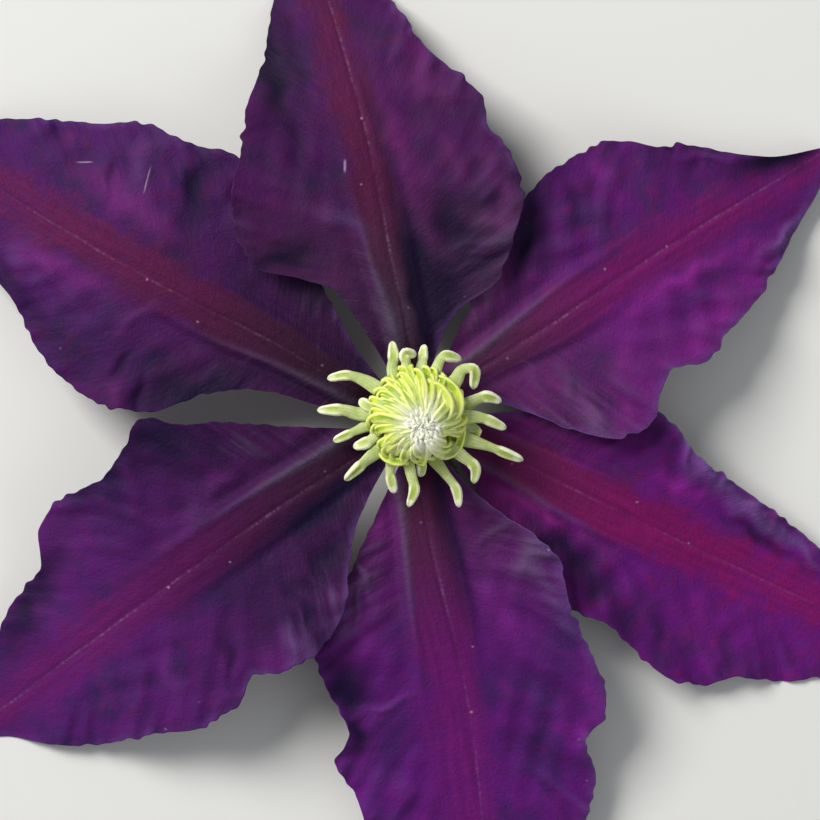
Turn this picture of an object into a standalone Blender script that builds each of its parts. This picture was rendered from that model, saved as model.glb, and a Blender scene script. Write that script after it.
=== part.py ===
"""A large-flowered clematis bloom, picked with a short stalk and lying face up on a surface.

Six tepals stand round a small receptacle at the end of the stalk. Above their claws sits the ring of
stamens, the outer ones spreading and the inner ones bent in over the middle like a ball, and in the
middle stands the bunch of carpels with its silky styles.

Tables and sizes are in millimetres and degrees; the model is in metres, +Z up, with the first tepal
towards +Y. The origin is at the bottom centre of the bloom, on the surface that it lies on.
"""

import math

import bmesh
import bpy
import numpy as np

MM = 0.001  # metres in a millimetre

# The flower's own axis, seen from above, and the heights at which its pieces join
AXIS = np.array([1.7, 2.0])
CLAW_ROOT = 2.8  # distance from the axis at which the tepals begin
CLAW_TOP = 7.8  # height of the tepals' upper side at their root
KNOB_TOP = 8.6  # top of the receptacle, which carries the stamens and the carpels
GAP = 0.3  # between neighbouring pieces

# Blades of the tepals. The heights are of the upper side.
BLADE = 0.8  # thickness between the ribs
RIB = 1.3  # thickness at the three ribs of the back
BAR = 2.4  # distance of the two side ribs from the midrib
FOOT = 3.9  # distance of the crease at the foot of the raised bar
TIP = 0.6  # half width of the blunt end
TIP_STEP = 0.55  # how far the tip's curve runs into the surface and is flattened by it
HUMP = 2.0  # rise of the blade between its claw and its tip
RAISED_BAR = 0.45
CREASE = 0.3  # depth of the creases beside the bar
CREASE_WIDTH = 0.8
CUP = 1.0  # rise of the margins beside the claw
DROOP = 1.4  # fall of the margins from there to the outer half
LAYER = 1.6  # height between one layer of tepals and the next, where they overlap
ROWS = 26
OUTER_COLUMNS = (0.42, 0.76, 1.0)  # of the way from the bar's foot to the margin
FOLD = 0.5  # half height of the soft folds at the margin
FOLD_PITCH = 9.0

# Each tepal, clockwise from the top. turn: direction of the tip. swing: how far its claw stands ahead of
# that. reach: from the axis to the tip. layer: -1 lies lowest, 1 on top. tip: height of the tip's upper
# side. bow: sideways bend of the midrib. left and right: half width at shares of the reach, facing
# outwards. curls: margins that turn up, as side, from, to (shares of the reach) and height.
TEPALS = {
    "tepal_1": dict(
        turn=103.4, swing=-5.0, reach=59.4, layer=1, tip=BLADE, bow=-1.0,
        left=((0.08, 2.0), (0.20, 4.5), (0.27, 6.0), (0.31, 9.5), (0.35, 14.0), (0.43, 15.5),
              (0.50, 15.0), (0.57, 13.0), (0.66, 11.0), (0.75, 7.8), (0.85, 5.4), (0.93, 2.9)),
        right=((0.08, 2.2), (0.16, 5.2), (0.19, 7.4), (0.22, 12.0), (0.28, 15.0), (0.38, 18.0),
               (0.46, 17.5), (0.52, 15.8), (0.57, 16.0), (0.62, 14.4), (0.70, 10.9), (0.80, 8.6),
               (0.90, 4.5)),
        curls=(("left", 0.26, 0.74, 1.4),),
    ),
    "tepal_2": dict(
        turn=32.6, swing=4.6, reach=57.5, layer=0, tip=BLADE + 1.3, bow=0.4,
        left=((0.08, 2.0), (0.15, 4.6), (0.22, 7.2), (0.30, 10.5), (0.40, 14.0), (0.50, 15.5),
              (0.60, 15.3), (0.66, 13.6), (0.70, 11.4), (0.76, 9.6), (0.82, 6.3), (0.90, 2.8)),
        right=((0.08, 1.8), (0.15, 4.6), (0.20, 8.2), (0.26, 12.4), (0.33, 15.2), (0.39, 15.5),
               (0.44, 12.9), (0.49, 11.5), (0.55, 12.9), (0.62, 11.4), (0.70, 10.2), (0.78, 8.0),
               (0.86, 5.4), (0.93, 3.4)),
        curls=(("left", 0.84, 0.99, 0.8),),
    ),
    "tepal_3": dict(
        turn=-25.2, swing=2.4, reach=61.5, layer=-1, tip=BLADE, bow=0.0,
        left=((0.08, 2.0), (0.15, 4.5), (0.22, 7.0), (0.30, 10.2), (0.40, 12.4), (0.46, 11.4),
              (0.51, 9.7), (0.60, 8.6), (0.70, 7.5), (0.80, 6.0), (0.90, 3.6)),
        right=((0.08, 2.0), (0.15, 4.8), (0.22, 7.6), (0.30, 10.6), (0.40, 12.9), (0.49, 12.6),
               (0.57, 14.2), (0.65, 15.3), (0.71, 14.4), (0.76, 11.9), (0.84, 10.2), (0.90, 8.1),
               (0.95, 5.5)),
        curls=(("left", 0.48, 0.84, 1.5),),
    ),
    "tepal_4": dict(
        turn=-82.2, swing=-0.6, reach=62.1, layer=0, tip=BLADE + 0.9, bow=0.6,
        left=((0.08, 2.2), (0.15, 5.2), (0.20, 8.1), (0.25, 11.6), (0.31, 14.2), (0.38, 14.5),
              (0.48, 16.2), (0.56, 17.4), (0.61, 16.8), (0.65, 14.2), (0.71, 15.0), (0.80, 13.0),
              (0.90, 8.5), (0.96, 4.8)),
        right=((0.08, 2.4), (0.15, 5.2), (0.22, 8.0), (0.30, 11.2), (0.37, 14.0), (0.43, 15.4),
               (0.50, 14.3), (0.57, 12.8), (0.63, 14.9), (0.69, 13.1), (0.80, 11.8), (0.90, 7.5),
               (0.96, 4.2)),
        curls=(("right", 0.52, 0.62, 1.0),),
    ),
    "tepal_5": dict(
        turn=-144.7, swing=1.9, reach=65.9, layer=1, tip=BLADE, bow=-0.5,
        left=((0.08, 2.0), (0.15, 4.2), (0.21, 6.8), (0.26, 10.5), (0.31, 14.0), (0.39, 15.8),
              (0.46, 15.1), (0.50, 13.6), (0.55, 15.5), (0.62, 15.3), (0.70, 12.8), (0.80, 9.9),
              (0.87, 6.7), (0.93, 2.8)),
        right=((0.08, 2.2), (0.16, 6.0), (0.22, 9.0), (0.29, 12.6), (0.35, 15.0), (0.40, 18.2),
               (0.45, 16.6), (0.52, 15.1), (0.60, 16.0), (0.66, 14.6), (0.70, 10.8), (0.77, 9.6),
               (0.84, 7.2), (0.91, 4.6)),
        curls=(),
    ),
    "tepal_6": dict(
        turn=150.6, swing=6.6, reach=67.5, layer=0, tip=BLADE + 1.5, bow=0.8,
        left=((0.08, 2.0), (0.15, 3.8), (0.22, 5.2), (0.29, 7.6), (0.35, 11.0), (0.40, 14.8),
              (0.50, 17.0), (0.58, 16.2), (0.65, 14.0), (0.70, 11.6), (0.80, 9.0), (0.90, 5.0)),
        right=((0.08, 2.0), (0.15, 4.2), (0.22, 6.8), (0.30, 9.6), (0.40, 13.4), (0.49, 16.0),
               (0.57, 14.6), (0.65, 14.2), (0.72, 11.6), (0.80, 9.2), (0.90, 5.5)),
        curls=(("right", 0.18, 0.66, -0.8),),
    ),
}

# Stalk: from its cut end on the surface, along under the blades, and up into the receptacle
STALK = 2.2  # diameter
STALK_TURN = -62.0  # direction in which it lies
STALK_ROUTE = ((34.0, 1.5), (26.0, 1.5), (18.0, 1.5), (12.0, 1.6), (7.0, 1.9), (3.4, 2.7), (1.1, 4.2))
KNOB = ((5.6, 1.1), (6.4, 2.0), (7.2, 2.5), (8.2, 2.5), (KNOB_TOP, 2.0))  # heights and radii

# Stamens: flat filaments in a ring round the carpels, over a core that they stand out of
COLLAR = 3.8  # outer radius of the ring that they grow from
WELL = 2.0  # radius of the space that the carpels stand in
CORE = ((WELL, 15.0), (2.6, 14.9), (3.6, 13.6), (4.1, 12.0), (3.9, 10.4), (COLLAR, 9.6),
        (COLLAR, KNOB_TOP + GAP), (WELL, KNOB_TOP + GAP))
FILAMENT = 1.3  # width
FILAMENT_DEPTH = 0.8
CORE_SIDES = 20
INNER_RINGS = ((20, 5.0, 12.6, 0.0), (12, 3.9, 14.6, 9.0))  # how many, widest radius, its height, turn
INNER_TIP = 2.35  # distance of their tips from the axis
SEED = 5
# Outer stamens, anticlockwise: direction and distance of points along each, seen from above
OUTER_STAMENS = (
    ((10, 4.9), (15, 8.6), (10, 9.8)),
    ((40, 4.6), (45, 7.4), (38, 8.4), (26, 7.2)),
    ((66, 4.9), (65, 7.7), (52, 8.3)),
    ((85, 5.0), (84, 8.0)),
    ((105, 4.9), (101, 7.3), (92, 7.0)),
    ((124, 4.9), (112, 7.6), (109, 8.9)),
    ((146, 5.0), (150, 9.4), (158, 11.3)),
    ((168, 4.6), (166, 6.9)),
    ((178, 5.0), (176, 8.6), (177, 11.6)),
    ((190, 5.0), (197, 10.2)),
    ((206, 5.0), (207, 8.2)),
    ((223, 5.0), (222, 11.3)),
    ((240, 5.2), (253, 9.4)),
    ((258, 5.0), (268, 8.6), (265, 10.6)),
    ((274, 4.6), (274, 7.0)),
    ((290, 5.0), (298, 9.6), (294, 11.8)),
    ((316, 5.0), (318, 9.2), (311, 10.4)),
    ((331, 5.0), (338, 13.0)),
    ((349, 5.0), (344, 7.1), (337, 5.9)),
    ((358, 5.0), (353, 10.5)),
)

# Carpels
BUNCH = ((0.0, 16.2), (0.9, 15.8), (1.15, 13.5), (1.3, 11.6), (1.65, 10.2), (1.5, KNOB_TOP + GAP),
         (0.0, KNOB_TOP + GAP))
STYLES = 12
STYLE = 0.6  # thickness
STYLE_TOP = 17.3


def clear_scene():
    """The default objects are removed."""
    for item in list(bpy.data.objects):
        bpy.data.objects.remove(item)


def new_collection(name):
    collection = bpy.data.collections.new(name)
    bpy.context.scene.collection.children.link(collection)
    return collection


def finish(name, colour, roughness, sheen=0.0):
    """A Principled material with one colour."""
    material = bpy.data.materials.new(name)
    material.use_nodes = True
    shader = material.node_tree.nodes["Principled BSDF"]
    shader.inputs["Base Color"].default_value = (*colour, 1.0)
    shader.inputs["Roughness"].default_value = roughness
    shader.inputs["Sheen Weight"].default_value = sheen
    return material


def add_object(name, mesh, collection, material=None):
    item = bpy.data.objects.new(name, mesh)
    collection.objects.link(item)
    if material:
        mesh.materials.append(material)
    return item


def through(points, at):
    """A smooth curve through the points that never swings past them (monotone cubic), read at `at`."""
    x, y = np.array(points, float).T
    step = np.diff(x)
    slope = np.diff(y) / step
    before, after = slope[:-1], slope[1:]
    level = before * after <= 0
    inner = np.where(level, 0.0, 2 * before * after / np.where(level, 1.0, before + after))
    tangent = np.concatenate([slope[:1], inner, slope[-1:]])
    i = np.clip(np.searchsorted(x, at, side="right") - 1, 0, len(step) - 1)
    t = (at - x[i]) / step[i]
    return (
        (1 + 2 * t) * (1 - t) ** 2 * y[i]
        + t * (1 - t) ** 2 * step[i] * tangent[i]
        + t * t * (3 - 2 * t) * y[i + 1]
        + t * t * (t - 1) * step[i] * tangent[i + 1]
    )


def ease(value, low, high):
    """0 below low, 1 above high and smooth between them."""
    t = np.clip((value - low) / (high - low), 0, 1)
    return t * t * (3 - 2 * t)


def polar(angle, radius, up):
    """A point at a direction (degrees) and distance from the flower's axis."""
    spin = math.radians(angle)
    return (AXIS[0] + radius * math.cos(spin), AXIS[1] + radius * math.sin(spin), up)


def grid_mesh(name, rows, columns, place):
    """A grid whose points go where place(u, v) puts them; u runs 0 to 1 by rows, v -1 to 1 by columns."""
    shape = bmesh.new()
    bmesh.ops.create_grid(shape, x_segments=rows, y_segments=columns, size=1.0)
    flat = np.array([point.co for point in shape.verts])
    spots = place((flat[:, 0] + 1) / 2, flat[:, 1])
    for point, spot in zip(shape.verts, spots):
        point.co = spot * MM
    mesh = bpy.data.meshes.new(name)
    shape.to_mesh(mesh)
    shape.free()
    return mesh


def tepal_height(tepal, share, run, side, across, edge):
    """Height of a blade's upper side.

    The blade rises a little from its claw, arches over and runs out level at the tip. Its bar is raised
    between two creases that fade by mid length. Slanting folds grow towards the margin, and where the
    tepals overlap the blade rides in its layer.
    """
    fall = (1 - run**2.4) ** 1.6
    height = tepal["tip"] + (CLAW_TOP - tepal["tip"]) * fall + HUMP * np.sin(math.pi * run) * fall**0.3
    height += tepal["layer"] * LAYER * ease(share, 0.04, 0.18) * (1 - ease(share, 0.62, 0.92))
    fade = ease(share, 0.07, 0.14) * (1 - ease(share, 0.30, 0.62))
    distance = np.abs(across)
    raised = RAISED_BAR * (1 - ease(distance, BAR, FOOT))
    height += fade * (raised - CREASE * np.exp(-(((distance - FOOT) / CREASE_WIDTH) ** 2)))
    turns = tepal["reach"] * share / FOLD_PITCH - 0.55 * edge + 0.31 * side + 0.17 * tepal["layer"]
    flat_tip = 1 - ease(share, 0.85, 0.95)
    calm = ease(share, 0.16, 0.34) * (0.35 + 0.65 * ease(share, 0.58, 0.70)) * flat_tip
    height += FOLD * np.sin(2 * math.pi * turns) * edge**1.6 * calm
    height += (CUP * ease(share, 0.12, 0.28) - DROOP * ease(share, 0.34, 0.66)) * edge**2 * flat_tip
    for where, start, end, rise in tepal["curls"]:
        here = (side > 0) if where == "left" else (side < 0)
        middle, half = (start + end) / 2, (end - start) / 2
        height += here * rise * edge**4 * (1 - ease(np.abs(share - middle), 0.5 * half, half))
    return height


def tepal_mesh(name, tepal):
    """One blade: a grid laid along the midrib, its columns close together over the bar."""
    columns = 2 * (2 + len(OUTER_COLUMNS))
    middle = columns // 2
    first = CLAW_ROOT / tepal["reach"]

    def place(u, v):
        share = first + (1 - first) * (1 - (1 - u) ** 1.2)
        run = (share - first) / (1 - first)
        step = np.round(np.abs(v) * middle).astype(int)
        side = np.sign(np.round(v * middle))
        start, end = (first, 0.85), (1.0, TIP)
        left = through((start, *tepal["left"], end), share)
        right = through((start, *tepal["right"], end), share)
        half = np.where(side > 0, left, right)
        bar = np.minimum(BAR, 0.32 * half)
        foot = np.minimum(FOOT, 0.58 * half)
        outer = np.array([0.0, 0.0, 0.0, *OUTER_COLUMNS])[step]
        distance = np.choose(np.minimum(step, 3), [0 * half, bar, foot, foot + (half - foot) * outer])
        across = side * distance
        height = tepal_height(tepal, share, run, side, across, distance / half)
        height = np.maximum(height - TIP_STEP * (tepal["tip"] == BLADE) * ease(share, 0.5, 0.9), BLADE)
        bend = tepal["bow"] * np.sin(math.pi * np.clip((share - 0.1) / 0.8, 0, 1))
        angle = np.radians(tepal["turn"] + tepal["swing"] * (1 - ease(share * tepal["reach"], 2.0, 20.0)))
        out, aside = share * tepal["reach"], across + bend * (1 - distance / half)
        x = AXIS[0] + out * np.cos(angle) - aside * np.sin(angle)
        y = AXIS[1] + out * np.sin(angle) + aside * np.cos(angle)
        return np.column_stack([x, y, height])

    return grid_mesh(name, ROWS, columns, place), columns


def add_tepal(name, tepal, collection, material):
    """A blade with three ribs on its back, the two outer ones running out before the tip."""
    mesh, columns = tepal_mesh(name, tepal)
    item = add_object(name, mesh, collection, material)
    ribs = item.vertex_groups.new(name="ribs")
    for point in mesh.vertices:
        column, row = divmod(point.index, ROWS + 1)
        aside = abs(column - columns // 2)
        if aside < 2:
            ends = (0.45, 0.75) if aside else (0.70, 0.86)
            ribs.add([point.index], float(1 - ease(row / ROWS, *ends)), "REPLACE")
    split = item.modifiers.new("split", "TRIANGULATE")
    split.quad_method = "FIXED"
    wall = item.modifiers.new("blade", "SOLIDIFY")
    wall.thickness = RIB * MM
    wall.offset = -1
    wall.vertex_group = ribs.name
    wall.thickness_vertex_group = BLADE / RIB
    return item


def add_stalk(collection, material):
    """The stalk and the receptacle at its end, one grown piece: a bevelled curve that widens at the top."""
    points = [polar(STALK_TURN, out, up) for out, up in STALK_ROUTE]
    points += [polar(0, 0, up) for up, radius in KNOB]
    widths = [STALK / 2] * len(STALK_ROUTE) + [radius for up, radius in KNOB]
    curve = bpy.data.curves.new("stalk", "CURVE")
    curve.dimensions = "3D"
    curve.bevel_depth = MM
    curve.bevel_resolution = 3
    curve.use_fill_caps = True
    line = curve.splines.new("POLY")
    line.points.add(len(points) - 1)
    for point, spot, width in zip(line.points, points, widths):
        point.co = (*(np.array(spot) * MM), 1)
        point.radius = width
    return add_object("stalk", curve, collection, material)


def ribbon(name, line, widths, depths, side, sides, collection):
    """A closed ribbon along a line, with an oval section whose wide way is `side`, as a mesh object."""
    line, side = np.array(line, float), np.array(side, float)
    run = np.gradient(line, axis=0)
    run /= np.linalg.norm(run, axis=1)[:, None]
    flat = side - run * (run @ side)[:, None]
    flat /= np.linalg.norm(flat, axis=1)[:, None]
    over = np.cross(run, flat)

    def place(u, v):
        i = np.round(u * (len(line) - 1)).astype(int)
        angle = math.pi * v
        wide = (np.array(widths)[i] / 2 * np.cos(angle))[:, None]
        deep = (np.array(depths)[i] / 2 * np.sin(angle))[:, None]
        return line[i] + wide * flat[i] + deep * over[i]

    mesh = grid_mesh(name, len(line) - 1, sides, place)
    shape = bmesh.new()
    shape.from_mesh(mesh)
    bmesh.ops.remove_doubles(shape, verts=shape.verts, dist=0.00001)
    bmesh.ops.holes_fill(shape, edges=shape.edges)
    bmesh.ops.triangulate(shape, faces=shape.faces)
    bmesh.ops.recalc_face_normals(shape, faces=shape.faces)
    shape.to_mesh(mesh)
    shape.free()
    return add_object(name, mesh, collection)


def turned(name, profile, sides, collection):
    """A closed body of revolution about the flower's axis from a profile of radii and heights."""
    shape = bmesh.new()
    spots = [shape.verts.new((radius * MM, 0, up * MM)) for radius, up in profile]
    for first, second in zip(spots, spots[1:]):
        shape.edges.new((first, second))
    if profile[0][0] > 0:
        shape.edges.new((spots[-1], spots[0]))
    bmesh.ops.spin(
        shape, geom=shape.verts[:] + shape.edges[:], angle=2 * math.pi, steps=sides,
        axis=(0, 0, 1), cent=(0, 0, 0), use_merge=True,
    )
    bmesh.ops.remove_doubles(shape, verts=shape.verts, dist=0.00001)
    bmesh.ops.translate(shape, verts=shape.verts, vec=(AXIS[0] * MM, AXIS[1] * MM, 0))
    bmesh.ops.recalc_face_normals(shape, faces=shape.faces)
    bmesh.ops.triangulate(shape, faces=shape.faces)
    mesh = bpy.data.meshes.new(name)
    shape.to_mesh(mesh)
    shape.free()
    return add_object(name, mesh, collection)


def outer_stamens(collection):
    """Spreading stamens: each leaves the ring steeply, levels out over the claws and dips at its tip."""
    made = []
    for number, plan in enumerate(OUTER_STAMENS):
        first, last = plan[0], plan[-1]
        tall = (number * 5) % 3 * 0.5
        line = [polar(first[0], 2.9, 9.4), polar(first[0], 3.9, 11.0 + tall / 2)]
        line += [polar(turn, away, 12.4 + tall - 0.05 * (away - 5)) for turn, away in plan]
        end = np.array(line[-1]) + 0.15 * (np.array(line[-1]) - np.array(line[-2]))
        line[-1] = tuple(end - np.array([0, 0, 0.5]))
        aside = math.radians((first[0] + last[0]) / 2)
        widths = [FILAMENT] * (len(line) - 1) + [0.7 * FILAMENT]
        depths = [FILAMENT_DEPTH] * (len(line) - 1) + [0.8 * FILAMENT_DEPTH]
        side = (-math.sin(aside), math.cos(aside), 0)
        made.append(ribbon(f"outer_{number}", line, widths, depths, side, 5, collection))
    return made


def inner_stamens(collection):
    """Stamens bent in over the carpels: out from the ring to the widest place, then up and in to the tip."""
    draw = np.random.default_rng(SEED)
    made = []
    for count, widest, middle, turn in INNER_RINGS:
        for number in range(count):
            angle = turn + 360 * (number + draw.uniform(-0.12, 0.12)) / count
            lean = draw.uniform(-7, 7)
            top = 16.0 + draw.uniform(-0.25, 0.25)
            line = [
                polar(angle, 3.1, 9.4),
                polar(angle, 0.9 * widest, (middle + 9.6) / 2),
                polar(angle + 0.3 * lean, widest + draw.uniform(-0.2, 0.2), middle),
                polar(angle + 0.7 * lean, 0.78 * widest, (middle + 2 * top) / 3),
                polar(angle + lean, INNER_TIP + draw.uniform(0.0, 0.4), top),
            ]
            aside = math.radians(angle)
            widths = [1.1, 1.25, 1.35, 1.15, 0.7]
            depths = [FILAMENT_DEPTH] * 4 + [0.6]
            side = (-math.sin(aside), math.cos(aside), 0)
            made.append(ribbon(f"inner_{widest}_{number}", line, widths, depths, side, 5, collection))
    return made


def outer_shell(mesh):
    """Only the widest surface of a fused mesh is kept, which fills the hollows that the fusing sealed."""
    shape = bmesh.new()
    shape.from_mesh(mesh)
    left, shells = set(shape.verts), []
    while left:
        shell, ahead = set(), [left.pop()]
        while ahead:
            point = ahead.pop()
            shell.add(point)
            near = [edge.other_vert(point) for edge in point.link_edges]
            ahead += [other for other in near if other in left]
            left.difference_update(near)
        shells.append(shell)
    shells.sort(key=len)
    for shell in shells[:-1]:
        bmesh.ops.delete(shape, geom=list(shell), context="VERTS")
    shape.to_mesh(mesh)
    shape.free()


def join(name, pieces, target, material):
    """The pieces made one closed body by a Boolean union, and the pieces themselves removed."""
    body = pieces[0]
    rest = bpy.data.collections.new(name + "_pieces")
    for piece in pieces[1:]:
        rest.objects.link(piece)
    union = body.modifiers.new("union", "BOOLEAN")
    union.operation = "UNION"
    union.operand_type = "COLLECTION"
    union.collection = rest
    union.solver = "MANIFOLD"
    bpy.context.view_layer.update()
    whole = bpy.data.meshes.new_from_object(body.evaluated_get(bpy.context.evaluated_depsgraph_get()))
    whole.name = name
    whole.materials.clear()
    outer_shell(whole)
    for piece in pieces:
        bpy.data.objects.remove(piece)
    bpy.data.collections.remove(rest)
    return add_object(name, whole, target, material)


def add_stamens(collection, workshop, material):
    core = turned("core", CORE, CORE_SIDES, workshop)
    pieces = [core, *outer_stamens(workshop), *inner_stamens(workshop)]
    return join("stamens", pieces, collection, material)


def add_pistil(collection, workshop, material):
    """The bunch of carpels, and the styles that rise out of it and splay over the stamens' tips."""
    draw = np.random.default_rng(SEED + 1)
    pieces = [turned("bunch", BUNCH, 10, workshop)]
    for number in range(STYLES):
        angle = 137.5 * number
        away = 2.3 * math.sqrt((number + 0.5) / STYLES)
        lean = angle + draw.uniform(-20, 20)
        top = STYLE_TOP + draw.uniform(-0.1, 0.35)
        line = [
            polar(angle, 0.25 * away, 14.6),
            polar(angle, 0.42 * away, 16.4),
            polar(angle, 0.62 * away, top),
            polar(lean, away, top + 0.1),
        ]
        aside = math.radians(angle)
        side = (-math.sin(aside), math.cos(aside), 0)
        thick = [STYLE, STYLE, STYLE, 0.7 * STYLE]
        pieces.append(ribbon(f"style_{number}", line, thick, thick, side, 4, workshop))
    return join("pistil", pieces, collection, material)


def build():
    clear_scene()
    bloom = new_collection("clematis_bloom")
    workshop = new_collection("workshop")
    purple = finish("tepal_velvet", (0.085, 0.011, 0.125), 0.6, 0.3)
    green = finish("stalk_green", (0.16, 0.24, 0.06), 0.6)
    lime = finish("stamen_cream", (0.52, 0.62, 0.20), 0.55)
    silk = finish("style_silk", (0.85, 0.88, 0.68), 0.5)
    add_stalk(bloom, green)
    for name, tepal in TEPALS.items():
        add_tepal(name, tepal, bloom, purple.copy())
    add_stamens(bloom, workshop, lime)
    add_pistil(bloom, workshop, silk)


build()
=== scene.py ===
import math

import bpy
import numpy as np
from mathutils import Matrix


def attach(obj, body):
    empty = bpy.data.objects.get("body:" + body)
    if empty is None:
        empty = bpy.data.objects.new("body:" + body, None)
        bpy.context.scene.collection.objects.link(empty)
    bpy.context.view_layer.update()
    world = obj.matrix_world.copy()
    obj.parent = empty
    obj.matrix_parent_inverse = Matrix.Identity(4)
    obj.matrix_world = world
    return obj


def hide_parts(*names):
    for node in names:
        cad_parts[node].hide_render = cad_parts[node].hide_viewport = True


# A large-flowered clematis bloom, picked with a short stalk and lying face up. The file follows the flower
# from the stalk up: stalk and receptacle, six tepals, stamens, carpels and styles, then the table and light.
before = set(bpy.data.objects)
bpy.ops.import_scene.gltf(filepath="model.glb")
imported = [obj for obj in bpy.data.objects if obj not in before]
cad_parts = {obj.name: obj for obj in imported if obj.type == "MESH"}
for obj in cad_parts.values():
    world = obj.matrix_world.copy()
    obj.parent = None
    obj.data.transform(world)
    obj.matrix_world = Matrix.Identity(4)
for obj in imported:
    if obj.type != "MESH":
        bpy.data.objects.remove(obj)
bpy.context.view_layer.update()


# ---- Stalk and receptacle ----
# A green, slightly six-angled stalk with fine down. It widens at its end into the receptacle, the small
# knob that tepals, stamens and carpels all grow on, so both are one grown piece, cut off straight.

MM = 0.001  # metres in a millimetre; every size below is in millimetres unless it says otherwise
AXIS = np.array([1.7, 2])  # the flower's own axis, seen from above
STALK_TURN = -62  # direction from the axis to the cut end, in degrees
STALK_LINE = np.array([  # distance from the axis, height, radius
    (34, 1.5, 1.05), (33.7, 1.5, 1.1), (30, 1.5, 1.08), (26, 1.5, 1.05), (22, 1.5, 1.1),
    (18, 1.5, 1.06), (12, 1.6, 1.08), (7, 1.9, 1.05), (3.4, 2.7, 1.08), (1.1, 4.2, 1.1),
    (0, 5.6, 1.15), (0, 6.4, 1.95), (0, 7.2, 2.45), (0, 8.2, 2.5), (0, 8.9, 2.7),
    (0, 9.6, 2.95), (0, 10.2, 2.4), (0, 10.5, 1.2), (0, 10.6, 0.2),
])
DOWNY_POINTS = 13  # the down grows along so many points of that line
STALK_THICKEST = 1.3  # a larger radius is the receptacle's, which is round
SIX_ANGLED = 0.05  # how far the six edges stand out, as a share of the radius
STALK_SIDES = 48
STALK_HAIRS = 1100


def spot(turn, out, up):
    """Points about the flower's axis: direction in degrees, distance out and height."""
    spin = np.radians(turn)
    parts = AXIS[0] + out * np.cos(spin), AXIS[1] + out * np.sin(spin), up
    return np.stack(np.broadcast_arrays(*parts), axis=-1).astype(float)


def curve_through(points, count):
    """A Catmull-Rom curve through the points, read at count places that lie evenly along it."""
    p = np.asarray(points, float)
    p = np.concatenate([2 * p[:1] - p[1:2], p, 2 * p[-1:] - p[-2:-1]])
    at = np.linspace(0, len(p) - 3 - 1e-9, 24 * len(p))
    i, t = at.astype(int), (at % 1)[:, None]
    a, b, c, d = p[i], p[i + 1], p[i + 2], p[i + 3]
    line = b + 0.5 * t * (c - a + t * (2 * a - 5 * b + 4 * c - d + t * (3 * (b - c) + d - a)))
    length = np.concatenate([[0], np.cumsum(np.linalg.norm(np.diff(line[:, :3], axis=0), axis=1))])
    even = np.linspace(0, length[-1], count)
    return np.stack([np.interp(even, length, line[:, k]) for k in range(p.shape[1])], axis=1)


def angles(sides):
    return 2 * math.pi * np.arange(sides) / sides


def placed(name, data):
    """A new object in the scene."""
    item = bpy.data.objects.new(name, data)
    bpy.context.scene.collection.objects.link(item)
    return item


def store(mesh, name, like, *parts):
    """Keeps three numbers for each point of a mesh, for its material; `like` has one entry for each point."""
    values = np.stack(np.broadcast_arrays(*parts, like)[:3], axis=-1)
    data = mesh.attributes.new(name, "FLOAT_VECTOR", "POINT").data
    data.foreach_set("vector", np.ascontiguousarray(values, np.float32).ravel())


def tubes(name, path, side, wide, deep, sides):
    """Closed tubes along K paths of N points, made one mesh.

    Point m of a section is path + wide * cos(a) * across + deep * sin(a) * over, where a = 2 pi m / sides.
    across is the side vector made square to the path, and over is the path's direction crossed with it.
    The attribute "tube" holds the share of the length, cos(a) and sin(a).
    """
    ahead = np.gradient(path, axis=1)
    ahead /= np.linalg.norm(ahead, axis=2, keepdims=True)
    across = side - ahead * np.sum(side * ahead, axis=2, keepdims=True)
    across /= np.linalg.norm(across, axis=2, keepdims=True)
    over = np.cross(ahead, across)
    a = angles(sides)
    reach_wide = (wide * np.cos(a))[..., None] * across[:, :, None]
    reach_deep = (deep * np.sin(a))[..., None] * over[:, :, None]
    points = path[:, :, None] + reach_wide + reach_deep
    many, rows = path.shape[:2]
    index = np.arange(many * rows * sides).reshape(many, rows, sides)
    turned = np.roll(index, -1, axis=2)
    quads = np.stack([index[:, :-1], turned[:, :-1], turned[:, 1:], index[:, 1:]], axis=-1).reshape(-1, 4)
    caps = [*index[:, 0, ::-1].tolist(), *index[:, -1].tolist()]
    mesh = bpy.data.meshes.new(name)
    mesh.from_pydata((points.reshape(-1, 3) * MM).tolist(), [], quads.tolist() + caps)
    mesh.shade_smooth()
    store(mesh, "tube", points[..., 0], np.linspace(0, 1, rows)[:, None], np.cos(a), np.sin(a))
    return placed(name, mesh)


class Wire:
    """One output of a shader node. Sums, differences and products with wires or numbers are wires again."""

    def __init__(self, socket):
        self.socket = socket

    def __add__(self, other):
        return calc("ADD", self, other)

    def __sub__(self, other):
        return calc("SUBTRACT", self, other)

    def __mul__(self, other):
        return calc("MULTIPLY", self, other)

    def __abs__(self):
        return calc("ABSOLUTE", self)


def node(kind, inputs, tree=None, **settings):
    """Adds a shader node to the tree of its inputs and gives its outputs. An input is a value or a wire."""
    tree = tree or next(value.socket.id_data for value in inputs.values() if isinstance(value, Wire))
    made = tree.nodes.new("ShaderNode" + kind)
    for name, value in settings.items():
        setattr(made, name, value)
    for socket, value in inputs.items():
        if isinstance(value, Wire):
            tree.links.new(value.socket, made.inputs[socket])
        else:
            made.inputs[socket].default_value = value
    return [Wire(output) for output in made.outputs]


def calc(operation, *values):
    return node("Math", dict(enumerate(values)), operation=operation)[0]


def between(value, low, high, first=0, last=1):
    """first where the value is at low, last where it is at high, smooth between them and level outside."""
    inputs = {"Value": value, "From Min": low, "From Max": high, "To Min": first, "To Max": last}
    return node("MapRange", inputs, interpolation_type="SMOOTHSTEP")[0]


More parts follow.
